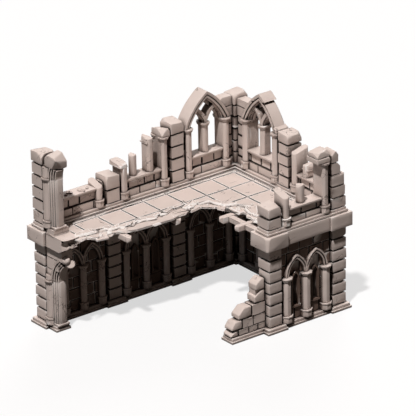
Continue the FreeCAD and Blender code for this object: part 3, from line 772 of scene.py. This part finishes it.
runs = {  # the piers that each outer run of wall passes, and those whose pads it owns
    "rear": (("rear_left", "rear_right"), ("rear_left", "rear_mid_left", "rear_mid_right", "rear_right")),
    "side": (("front_right", "rear_right"), ("side_mid",)),
    "front": (("front_left", "front_right"), ("front_left", "front_right")),
}


def makePlinth(name):
    look = plinthLook
    (start, end), pads = runs[name]
    piece = openPiece(name)
    addRun(pierSpots[start], pierSpots[end], look["half"], 0, look["step"], look["inset"])
    for pad in pads:
        addPad(pierSpots[pad], cornerHalf + look["padOut"], 0, look["step"], look["inset"])
    low, high = box("plinth_" + name)
    if name == "rear":
        corner = pierSpots["rear_left"]
        half = look["half"] - look["returnIn"]
        addSteps((corner.x - half, low.y, 0), (corner.x + half, corner.y), look["step"], look["inset"])
    if name == "front":
        corner, out = pierSpots["front_left"], look["wingOut"]
        wingLow, wingHigh = box("wing")
        addSteps((low.x, wingLow.y - out, 0), (corner.x, wingHigh.y + out), look["step"], look["inset"])
    closePiece(piece, bevel=0.4, rough=0.3, cuts=3)
    lookOf(piece, "plinth_" + name)


for name in runs:
    makePlinth(name)


# left return and wing

returnLook = {
    "jambSpot": 14.6, "ribFirst": 13.2, "ribStep": 1.55, "ribWide": 1.15, "ribCentre": 35.6, "ribs": 4,
    "halfThick": 4.5, "faceLine": 6.3, "shaftRadius": 3.0,
}


def makeReturn(storey, node, jambNode, spring, rubble, archTurn):
    look = returnLook
    x, y = sum(c.x for c in box("pier_ground_rear_left")) / 2, rearLine
    low, high = box(node)
    back = look["jambSpot"] - bayLook["shaftRadius"]
    face, thick = look["faceLine"], look["halfThick"]
    piece = openPiece(node)
    addBlock((face, -thick + 1, low.z), (back, thick - 1, spring + 2))
    for side in (-1, 1):
        addBricks(face, back, low.z, spring + 1, side * (thick - 1), side)
    stub = 8 if storey == "upper" else 4  # how far the shafts go on over the springing
    for side in (-1, 1):
        middle, out = (face + back) / 2, side * (thick - 0.6)
        addShaft(middle, out, low.z, spring, look["shaftRadius"])
        addDrum(middle, out, spring, spring + stub, look["shaftRadius"])
    top = high.z
    steps = 3 if storey == "ground" else 2
    tall = (top - spring) / steps
    for step in range(steps):  # masonry over the springing, wider course by course
        foot = spring + step * tall
        reach = back + 3 + step * 4.6
        if step == steps - 1 and storey == "upper":
            chips = [(-1, -0.4, 1.2), (0.2, 1, 1.0)]
            addCap((face, -thick + 0.6, foot - 2), (back, thick - 0.6, foot + tall - 2.5), chips)
            under = (back - 3.5, -thick - 0.9, foot - 1.2)
            addBlock(under, (reach + 0.8, thick + 0.9, foot + tall - 0.6), (3, 6, 4))
            breakOff((back - 1.8, 0, foot + tall - 1.4), (-1, -0.3, 1.3))
            breakOff((reach - 0.4, -2, foot + 1.2), (1, -0.5, -0.6))
            breakOff((reach - 1.0, 0, foot + tall - 2.2), (1, 0.3, 0.9))
            roundOff(1.7, 4)
        else:
            addBroken((face, -thick, foot + 0.3), (reach, thick, foot + tall - 0.3), [])
    for number in range(look["ribs"]):
        spot, deep = look["ribFirst"] + number * look["ribStep"], thick + 0.9 - number * 0.75
        radius = look["ribCentre"] - spot
        addRib(spot, -deep, deep, spring, look["ribWide"], radius, archTurn, 1, steps=8)
        wide = look["ribStep"] + 0.6
        addRib(spot - 0.4, -deep + 0.9, deep - 0.9, spring, wide, radius + 0.4, archTurn, 1, steps=8)
    for spot, reach, count in rubble:
        addRubble(spot, reach, count, size=4.2)
    closePiece(piece, bevel=0.4, rough=0.3)
    lookOf(settle(piece, x, y, -90), node)
    low, high = box(jambNode)
    piece = openPiece(jambNode)
    for number in range(look["ribs"]):
        spot, deep = look["ribFirst"] + number * look["ribStep"], thick + 0.9 - number * 0.75
        addBlock((spot - look["ribWide"], -deep, low.z), (spot, deep, spring + 0.2))
        addBlock((spot - look["ribWide"] - 0.6, -deep + 0.9, low.z), (spot + 0.3, deep - 0.9, spring + 0.2))
    end = look["ribFirst"] + (look["ribs"] - 1) * look["ribStep"]
    addBlock((look["ribFirst"] - 2.4, -thick - 0.4, low.z), (end + 0.7, thick + 0.4, low.z + 1.6))
    closePiece(piece, bevel=0.35, rough=0.15)
    lookOf(settle(piece, x, y, -90), jambNode)


returnRubble = [((24.0, -1.6, 55.6), (0.2, 0.3, 0.2), 1), ((24.6, 1.6, 52.4), (0.2, 0.3, 0.2), 1)]
makeReturn("ground", "return_ground", "jamb_ground", bayLook["spring"], returnRubble, 0.85)


def makeWing():
    low, high = box("wing")
    piece = openPiece("wing")
    y0, y1 = low.y, high.y
    mid = (y0 + y1) / 2
    addBlock((low.x + 4, y0 + 1.2, low.z), (high.x, y1 - 1.2, low.z + 10))
    addBlock((low.x + 13, y0 + 1.2, low.z), (high.x, y1 - 1.2, low.z + 18))
    addBlock((high.x - 8, y0 + 1.2, low.z), (high.x, y1 - 1.2, high.z - 5))
    spots = [  # left end, right end, foot and top of each stone, and the plane it is broken along
        (0, 7, 0, 4.6, (-1, 0, 1.4)), (7, 16, 0, 4.6, None),
        (16, 24, 0, 4.6, None), (24, 30.6, 0, 4.6, None),
        (1, 10.5, 4.6, 11.5, (-1, 0, 0.9)), (10.5, 20, 4.6, 11.5, None), (20, 30.6, 4.6, 11.5, None),
        (7, 19, 11.5, 20, (-1, 0, 1.1)), (19, 30.6, 11.5, 20, None),
        (21, 30.6, 20, 29, (-1, 0, 1.6)), (22, 30.6, 29, 37.6, (-1, 0, 1.5)),
    ]
    for left, right, foot, top, broken in spots:
        under = Vector((low.x + left + 0.35, y0, low.z + foot + 0.35))
        over = Vector((low.x + right - 0.35, y1, low.z + top - 0.35))
        cuts = []
        if broken:
            cuts = [((under.x + (right - left) * 0.22, mid, over.z - (top - foot) * 0.25), broken)]
        addBroken(under, over, cuts)
        if broken:
            roundOff(0.8, 3)
    addRubble((low.x + 5, mid, low.z + 9), (2, 3, 1), 6)
    addRubble((high.x - 5, mid, high.z - 1.8), (2, 2.5, 0.4), 3)
    closePiece(piece, bevel=0.6, rough=0.6)
    lookOf(piece, "wing")


makeWing()


# string course and floor

print("stage: string course and floor")


def returnBreak():  # a rough fracture of several facets at the free end
    low, high = box("band_return")
    level = (low.z + high.z) / 2
    facets = [
        ((low.x + 1.6, low.y, level), (-0.9, -1, 0.2)),
        ((low.x + 5, low.y, low.z + 2.0), (-0.1, -0.8, -0.8)),
        ((low.x + 6, low.y + 0.4, high.z - 3.0), (-0.2, -1, 0.6)),
        ((high.x - 1.6, low.y, level), (0.8, -1, -0.2)),
    ]
    for point, outward in facets:
        bpy.ops.mesh.select_all(action="SELECT")
        breakOff(point, outward)
    for x, y, z in ((4.5, 3.6, 7.0), (9.0, 2.8, 4.0), (5.5, 3.2, 3.4)):
        addRubble((low.x + x, low.y + y, low.z + z), (0.3, 0.2, 0.3), 1, size=2.4)


bandLook = {"half": 7.6, "blockOut": 3.2, "kerb": 1.85, "kerbIn": 0.5}


def makeBand(name):
    look = bandLook
    (start, end), blocks = runs[name]
    low, high = box("band_" + name)
    floorTop = box("paving")[1].z
    piece = openPiece(name)
    a, b = pierSpots[start], pierSpots[end]
    half = look["half"]
    along = Vector((1, 0, 0)) if abs(b.x - a.x) > abs(b.y - a.y) else Vector((0, 1, 0))
    across = Vector((along.y, along.x, 0))
    addBlock(Vector((*(a - across * half).xy, low.z)), Vector((*(b + across * half).xy, floorTop)))
    addRun(a, b, half - look["kerbIn"], floorTop, look["kerb"], 0.9)
    for block in blocks:
        spot, out = pierSpots[block], cornerHalf + look["blockOut"] - 0.12  # the worn surface adds a little
        under = Vector((spot.x - out, spot.y - out, low.z))
        over = Vector((spot.x + out, spot.y + out, floorTop))
        addBlock(under, over)
        if block == "front_left":
            level = (under.z + over.z) / 2
            breakOff((under.x + 1.6, under.y, level), (-1, -0.8, 0.12))
            breakOff((under.x + 2.4, under.y, over.z - 1.0), (-0.7, -0.6, 1))
        addPad(spot, half - look["kerbIn"], floorTop, look["kerb"], 0.9)
    closePiece(piece, bevel=0.75, rough=0.4, cuts=3)
    lookOf(piece, "band_" + name)


for name in runs:
    makeBand(name)
wornCopy("band_return", bevel=0.6, rough=0.4, more=returnBreak)

tornLook = {"clearRear": 16, "clearSide": 25, "clearFront": 12}  # no flakes this near to a wall's line


def brokenEdges(node, spacing):  # places along the torn edge of a floor layer, with the way it faces
    mesh = frame["nodes"][node].data
    low, high = box(node)
    spots, seen = [], set()
    for face in mesh.polygons:
        centre, out = face.center / mm, face.normal
        if abs(out.z) > 0.3 or centre.x < low.x + 1 or centre.y > rearLine - tornLook["clearRear"]:
            continue
        if centre.x > sideLine - tornLook["clearSide"] or centre.y < frontLine + tornLook["clearFront"]:
            continue
        points = [mesh.vertices[v].co / mm for v in face.vertices]
        if min(v.z for v in points) > low.z + 0.2:
            continue
        a, b = min(points, key=lambda v: (v.x, v.y)), max(points, key=lambda v: (v.x, v.y))
        count = max(1, int((b.xy - a.xy).length / spacing))
        for step in range(count):
            spot = a.lerp(b, (step + 0.5) / count)
            key = (round(spot.x / 2), round(spot.y / 2))
            if key not in seen:
                seen.add(key)
                spots.append((Vector((spot.x, spot.y, high.z)), Vector((out.x, out.y, 0)).normalized()))
    return spots


def pavingFlakes():
    bpy.ops.mesh.select_all(action="DESELECT")
    for spot, out in brokenEdges("paving", 16.0):
        addPlate(spot, out, chance.uniform(3.5, 8.0), chance.uniform(1.6, 3.6), 1.2)


def deckShards():
    bpy.ops.mesh.select_all(action="DESELECT")
    for spot, out in brokenEdges("deck", 16.0):
        addPlate(spot, out, chance.uniform(4.5, 9.0), chance.uniform(2.2, 4.4), 1.5)
        if chance.random() < 0.45:
            addRubble(spot - out * 1.4 + Vector((0, 0, 0.2)), (1.5, 1.5, 0.2), 1, size=1.9)


floorLook = {"tile": 20.0, "border": 3.0, "gap": 0.55, "bed": 0.45}


def outlinePrism(node):  # a tall block with the outline of a flat layer
    cutter = bpy.data.objects.new(node + "Outline", frame["nodes"][node].data.copy())
    bpy.context.scene.collection.objects.link(cutter)
    pickOnly(cutter)
    bpy.ops.object.mode_set(mode="EDIT")
    bpy.ops.mesh.select_all(action="SELECT")
    bpy.ops.mesh.remove_doubles(threshold=1e-6)
    bpy.ops.mesh.select_all(action="DESELECT")
    bpy.ops.object.mode_set(mode="OBJECT")
    facesOnly(True)
    for face in cutter.data.polygons:  # keep the flat underside
        face.select = face.normal.z > -0.9
    bpy.ops.object.mode_set(mode="EDIT")
    bpy.ops.mesh.delete(type="FACE")
    bpy.ops.mesh.select_all(action="SELECT")
    bpy.ops.mesh.dissolve_limited(angle_limit=0.02)
    bpy.ops.mesh.select_all(action="SELECT")
    bpy.ops.transform.translate(value=(0, 0, -2 * mm))
    bpy.ops.mesh.extrude_region_move(TRANSFORM_OT_translate={"value": (0, 0, 6 * mm)})
    bpy.ops.mesh.select_all(action="SELECT")
    bpy.ops.mesh.normals_make_consistent(inside=False)
    bpy.ops.object.mode_set(mode="OBJECT")
    facesOnly(False)
    return cutter


def makePaving():
    look = floorLook
    low, high = box("paving")
    tiles = openPiece("tiles")
    right, rear = high.x - look["border"], high.y - look["border"]
    xs, ys = [high.x, right], [high.y, rear]
    while xs[-1] > low.x:
        xs.append(max(xs[-1] - look["tile"], low.x))
    while ys[-1] > low.y:
        ys.append(max(ys[-1] - look["tile"], low.y))
    gap = look["gap"]
    for b, a in zip(xs, xs[1:]):
        for d, c in zip(ys, ys[1:]):
            drop = abs(wobble(0.15))
            under, over = (a + gap, c + gap, low.z + look["bed"]), (b - gap, d - gap, high.z - 0.05 - drop)
            addBlock(under, over, (wobble(0.2), wobble(0.2), 0))
    bedTop = low.z + look["bed"] - 0.1  # the bed shows in the joints
    addBlock((low.x - 1, low.y - 1, low.z), (high.x + 1, high.y + 1, bedTop))
    bpy.ops.object.mode_set(mode="OBJECT")
    cutter = outlinePrism("paving")
    keep = tiles.modifiers.new("outline", "BOOLEAN")
    keep.operation = "INTERSECT"
    keep.solver = "EXACT"
    keep.object = cutter
    bpy.context.view_layer.objects.active = tiles
    bpy.ops.object.modifier_apply(modifier=keep.name)
    bpy.data.objects.remove(cutter)
    bpy.ops.object.mode_set(mode="EDIT")
    pavingFlakes()
    closePiece(tiles, bevel=0.42, rough=0, cuts=0)
    frameFaces(tiles)
    lookOf(tiles, "paving")


makePaving()
wornCopy("deck", bevel=0.3, rough=0, more=deckShards)


joistLook = {
    "frameLines": ((-9.8, -5.2, 0), (-28.3, -23.7, 1)),  # both sides of a beam, and how far it goes on
    "crossLine": (25.7, 30.3),
}


def makeJoist(node):
    low, high = box(node)
    piece = openPiece(node)
    beams = [(low, high, Vector((0, -1, 0)))]
    if node == "joist_frame":
        beams = []
        for near, far, past in joistLook["frameLines"]:
            beams.append(((low.x - past, near, low.z), (high.x, far, high.z), Vector((-1, 0, 0))))
        left, right = joistLook["crossLine"]
        beams.append(((left, low.y, low.z + 0.4), (right, high.y, high.z - 0.2), None))
    for under, over, along in beams:
        under, over = Vector(under), Vector(over)
        addBlock(under, over, (wobble(0.6), wobble(0.6), wobble(0.6)))
        if along is None:
            continue
        tip = Vector((under.x, (under.y + over.y) / 2, over.z))
        if not along.x:
            tip = Vector(((under.x + over.x) / 2, under.y, over.z))
        across = Vector((along.y, along.x, 0))
        breakOff(tip - along * 0.8, along + Vector((0, 0, 0.9)))
        breakOff(tip - along * 1.0 - Vector((0, 0, 3.8)), along + Vector((0, 0, -1)))
        breakOff(tip - along * 0.8 + across * 1.2, along + across * 1.1)
        breakOff(tip - along * 0.8 - across * 1.2, along - across * 1.1)
        roundOff(0.5)
    closePiece(piece, bevel=0.6, rough=0.5, cuts=3)
    lookOf(piece, node)


for node in ("joist_left", "joist_mid", "joist_frame"):
    makeJoist(node)


# upper storey

print("stage: upper storey")
topChips = {  # which way each knocked-off edge faces, and how deep it is
    "rear_left": [(-1, -0.6, 1.2), (1, -0.8, 1.6)],
    "rear_mid_left": [(-1, -0.9, 1.0), (0, 1, 0.8)],
    "rear_mid_right": [(1, -1, 2.2), (-1, 0.3, 0.8)],
    "rear_right": [(1, -0.5, 1.2), (-0.5, -1, 0.8)],
    "side_mid": [(0.9, -0.8, 1.6), (-0.3, -1, 0.9)],
    "front_left": [(-1, -1, 1.5), (1, -0.4, 1.0)],
}
for name, chips in topChips.items():
    makePier("pier_upper_" + name, chips)


def makeFrontRightPier():
    node = "pier_upper_front_right"
    low, high = box(node)
    piece = openPiece(node)
    course = pierLook["course"]
    addBlock(low + Vector((1, 1, 0)), Vector((high.x - 1, high.y - 1, low.z + course * 3)))
    for step in range(3):
        foot = low.z + step * course
        narrow = step * 0.9
        addStone((low.x, low.y, foot + 0.4), (high.x - narrow, high.y, foot + course - 0.4), chip=0.5)
    foot = low.z + course * 3
    tall = (high.z - foot) / 2
    for step in range(2):
        under = Vector((low.x + 0.5, low.y + 1, foot + step * tall + 0.3))
        over = Vector((low.x + 8.2 - step * 1.6, high.y - 1, foot + (step + 1) * tall - 0.2))
        cuts = [((over.x - 1, 0, over.z - 1.5), (1, 0, 0.7))]
        if step:
            cuts.append(((under.x + 2, 0, over.z - 1), (-0.8, 0, 1)))
        addBroken(under, over, [(Vector(p) + Vector((0, under.y, 0)), o) for p, o in cuts])
    closePiece(piece, bevel=0.6, rough=0.5)
    lookOf(piece, node)


makeFrontRightPier()
makeReturn("upper", "return_upper", "jamb_upper", 113.0, [], 0.4)

parapetLook = {
    "coreHalf": 1.9, "sillThick": 2.2, "sillHalf": 5.2,
    "tops": {"rear_left": 91.0, "rear_mid": 90.0, "side_front": 90.3, "front": 88.0},
}


def addSill(left, right, top):  # a slab with a stepped nose along both faces
    half, thick = parapetLook["sillHalf"], parapetLook["sillThick"]
    addStone((left, -half, top - thick * 0.62), (right, half, top), loose=0.1, chip=0, tilt=0)
    addBlock((left + 0.2, -half + 0.9, top - thick - 0.4), (right - 0.2, half - 0.9, top - thick * 0.55))


def addLowBricks(clear, foot, top, gaps=()):
    core = parapetLook["coreHalf"]
    addBlock((-clear / 2, -core, foot), (clear / 2, core, top))
    split = foot + (top - foot) * 0.48
    for side in (-1, 1):
        addBricks(-clear / 2, clear / 2, split, top, side * core, side, gaps, course=top - split)
        x = -clear / 2
        while x < clear / 2 - 1:  # long plain blocks under the bricks
            stop = min(x + chance.uniform(13, 24), clear / 2)
            if clear / 2 - stop < 5:
                stop = clear / 2
            near, far = sorted((side * (core - 1), side * (core + 2.3)))
            addStone((x + 0.3, near, foot), (stop - 0.3, far, split - 0.6), loose=0.2, tilt=0.3)
            x = stop


def makeParapet(name, stubs, rubble=()):
    x, y, turn, clear = bays[name]
    node = "wall_upper_" + name
    low, high = box(node)
    top = parapetLook["tops"][name]
    piece = openPiece(node)
    addLowBricks(clear, low.z, top - parapetLook["sillThick"])
    inner = clear / 2 - bayLook["shaftGap"] - 1
    addSill(-inner, inner, top)
    for sign in (-1, 1):
        a, b = sorted((sign * (clear / 2 - 2.4), sign * clear / 2))
        addBricks(a, b, top - 4, top + 3, 1.4, 1)
        addBricks(a, b, top - 4, top + 3, -1.4, -1)
    for spot, peak, radius, slab in stubs:
        breaks = (
            ((spot, 0, peak - 0.9), (-0.2, -0.12, 1)),
            ((spot + radius * 0.6, 0, peak - 1.2), (1, 0.2, 1)),
        )
        for back in ((-slab, slab) if slab else (0,)):
            addDrum(spot, back, top - 0.3, peak, radius)
            for cut in breaks:
                breakOff(*cut)
            roundOff(0.9, 3)
        if slab:
            addBlock((spot - radius, -slab, top - 0.3), (spot + radius, slab, peak))
            for cut in breaks:
                breakOff(*cut)
            roundOff(0.6, 3)
            under = (spot - radius - 0.5, -slab - 2.2, peak - 5.2)
            addBlock(under, (spot + radius + 0.5, slab + 2.2, peak - 4.2))
    for spot, reach, count in rubble:
        addRubble(spot, reach, count, size=1.9)
    closePiece(piece, bevel=0.4, rough=0.28)
    lookOf(settle(piece, x, y, turn), node)


makeParapet("rear_left", [], [((-8, 0, 91.3), (3, 2.5, 0.6), 4), ((6, 0, 91.1), (4, 2.5, 0.4), 3)])
makeParapet("rear_mid", [(-6.5, 106.5, 2.8, 0), (6.5, 116.0, 2.9, 1.7)])
makeParapet("side_front", [(-2, 100.5, 3.0, 2.0)])
makeParapet("front", [(1, 102.0, 3.1, 0)])

windowLook = {
    "reach": 16.5, "half": 20.1, "rise": 24.5, "spring": 113.0, "halfDeep": 5.5, "sill": 91.2,
    "mullion": 2.6, "mullionOut": 1.4, "traceryHalf": 3.5, "bow": 19,
    "spandrelCourse": 7.5, "spandrelReach": (13.5, 9.5),
}


def windowMiddle(name):
    x, y, turn, clear = bays[name]
    low, high = box("window_" + name)
    middle = (low + high) / 2
    return middle.x - x if turn == 0 else y - middle.y


def makeWindowWall(name, stripTop):
    x, y, turn, clear = bays[name]
    node = "wall_upper_" + name
    low, high = box(node)
    look = windowLook
    middle = windowMiddle(name)
    piece = openPiece(node)
    addLowBricks(clear, low.z, look["sill"] - 2.2)
    addSill(middle - look["reach"] + 2, middle + look["reach"] - 2, look["sill"])
    for sign in (-1, 1):
        far, near = sign * clear / 2, middle + sign * (look["half"] - 1)
        corner = (far > 0) == (name == "rear_right")
        a, b = sorted((far, near))
        addBlock((a, -2.6, look["sill"] - 2), (b, 2.6, look["spring"]))
        for side in (-1, 1):
            addBricks(a, b, look["sill"] - 1, look["spring"], side * 2.4, side)
        if corner:
            start, tall = look["spring"], look["spandrelCourse"]
            for step, reach in enumerate(look["spandrelReach"]):  # courses that climb to the corner
                foot, head = start + step * tall, min(start + (step + 1) * tall, stripTop)
                edge = middle + sign * reach
                p, q = sorted((edge, far))
                cuts = [((edge + sign * 1.5, 0, head - 2.5), (-sign * 0.8, 0, 1))] if step else []
                addBroken((p, -3.8, foot + 0.3), (q, 3.8, head - 0.2), cuts)
    closePiece(piece, bevel=0.4, rough=0.28)
    lookOf(settle(piece, x, y, turn), node)


def makeWindow(name, broken):
    x, y, turn, clear = bays[name]
    node = "window_" + name
    low, high = box(node)
    look = windowLook
    middle = windowMiddle(name)
    piece = openPiece(node)
    deep, spring = look["halfDeep"], look["spring"]
    for sign in (-1, 1):
        spot = middle + sign * look["reach"]
        for side in (-1, 1):
            addShaft(spot, side * (deep - 1.6), low.z, spring, bayLook["shaftRadius"])
        addBlock((spot - 2.4, -deep + 2, low.z), (spot + 2.4, deep - 2, spring + 0.5))
        addBlock((spot - 3.4, -deep + 1.6, low.z), (spot + 3.4, deep - 1.6, low.z + shaftLook["base"]))
        addBlock((spot - 3.4, -deep + 1.6, spring - shaftLook["ring"]), (spot + 3.4, deep - 1.6, spring))
    rings = ((0, 2.1, deep), (1.9, 1.0, deep - 1.1), (2.8, 1.5, deep - 0.3), (4.2, 1.1, deep - 1.6))
    for inset, wide, half in rings:
        cuts = [None]
        if broken and not inset:  # the outer ring has lost a piece near its crown
            cuts = [((0, 0, spring + 13.5), (0.5, 0, 1)), ((0, 0, spring + 18.0), (0.2, 0, -1))]
        for cut in cuts:
            addArch(
                middle, spring, look["half"], look["rise"], inset, wide, -half, half,
                steps=12, bow=look["bow"], cut=cut,
            )
    if broken:
        addRubble((middle + 17.5, -4, spring + 3), (0.3, 0.3, 0.3), 1, size=1.8)
    closePiece(piece, bevel=0.4, rough=0.22)
    lookOf(settle(piece, x, y, turn), node)


def makeTracery(name):
    x, y, turn, clear = bays[name]
    node = "tracery_" + name
    look = windowLook
    middle = windowMiddle(name)
    inner = look["half"] - 5.3
    piece = openPiece(node)
    spring, thin = look["spring"], look["traceryHalf"]
    for side in (-1, 1):
        addShaft(middle, side * look["mullionOut"], look["sill"] - 0.5, spring, look["mullion"], base=False)
    addBlock(
        (middle - look["mullion"], -look["mullionOut"], look["sill"] - 0.5),
        (middle + look["mullion"], look["mullionOut"], spring - 1),
    )
    for sign in (-1, 1):
        centre = middle + sign * inner / 2
        half = inner / 2 + 1.6
        addArch(centre, spring, half, 13.0, 0, 2.5, -thin, thin, steps=9, bow=24)
        addArch(centre, spring, half, 13.0, 2.2, 0.9, -thin + 1, thin - 1, steps=9, bow=24)
    addArch(middle, spring, inner + 0.8, look["rise"] - 5.6, 0, 3.4, -1.0, 1.0, steps=9, bow=look["bow"])
    closePiece(piece, bevel=0.3, rough=0.15)
    lookOf(settle(piece, x, y, turn), node)


for name, stripTop, broken in (("rear_right", 128.0, False), ("side_rear", 126.0, True)):
    makeWindowWall(name, stripTop)
    makeWindow(name, broken)
    makeTracery(name)


pillarLook = {"blockFoot": 88, "springerDrop": 4, "breakDrop": 2.2}


def makePillar(node, capital=False, tilt=(-0.7, -0.4, 1), springer=None):
    low, high = box(node)
    piece = openPiece(node)
    side = node == "shaft_side_front"
    base = frame["nodes"][node].data
    foot = [v.co / mm for v in base.vertices if v.co.z / mm < low.z + 1]
    x = (min(v.x for v in foot) + max(v.x for v in foot)) / 2
    y = (min(v.y for v in foot) + max(v.y for v in foot)) / 2
    top = windowLook["spring"] if capital else high.z
    if node == "shaft_rear_mid_left":
        top = high.z - pillarLook["springerDrop"]
    radius, line = bayLook["shaftRadius"], windowLook["halfDeep"] - 1.6
    broken = None  # one break right across the pillar
    if not (capital or springer):
        broken = ((x, y, top - pillarLook["breakDrop"]), tilt)
    for way in (-1, 1):
        spot = (x + way * line, y) if side else (x, y + way * line)
        addShaft(spot[0], spot[1], low.z, top, radius, capital, broken)
    reach = (line, radius) if side else (radius, line)
    addBlock((x - reach[0], y - reach[1], pillarLook["blockFoot"]), (x + reach[0], y + reach[1], top))
    if broken:
        breakOff(*broken)
        roundOff(0.35)
    if springer:  # one or more stones, each narrower than the one under it
        stones, chips = springer
        step = (high.z - top) / stones
        for number in range(stones):
            shrink = 1.2 + number * 0.8
            under = Vector((low.x + shrink * 0.6, low.y + shrink, top + number * step))
            over = Vector((high.x - shrink * 0.6, high.y - shrink, top + (number + 1) * step - 0.3))
            if number == stones - 1:
                addCap(under, over, chips, slope=0.2)
            else:
                addStone(under, over, chip=1)
                roundOff(0.6, 3)
    closePiece(piece, bevel=0.4, rough=0.3)
    lookOf(piece, node)


makePillar("shaft_rear_left", tilt=(-0.2, -0.25, 1))
makePillar("shaft_rear_mid_left", springer=(1, [(-1, -0.5, 1.1), (1, -0.8, 1.0)]))
makePillar("shaft_rear_mid_right", capital=True, springer=(1, [(-1, -0.6, 1.6), (1, -1, 1.0)]))
makePillar("shaft_side_front", tilt=(-0.25, -0.1, 1))
makePillar("shaft_front_left", tilt=(-0.25, -0.3, 1))
makePillar("shaft_front_right", capital=True, springer=(2, [(-1, -0.3, 1.2), (0.4, -1, 0.9)]))

print("stage: done")
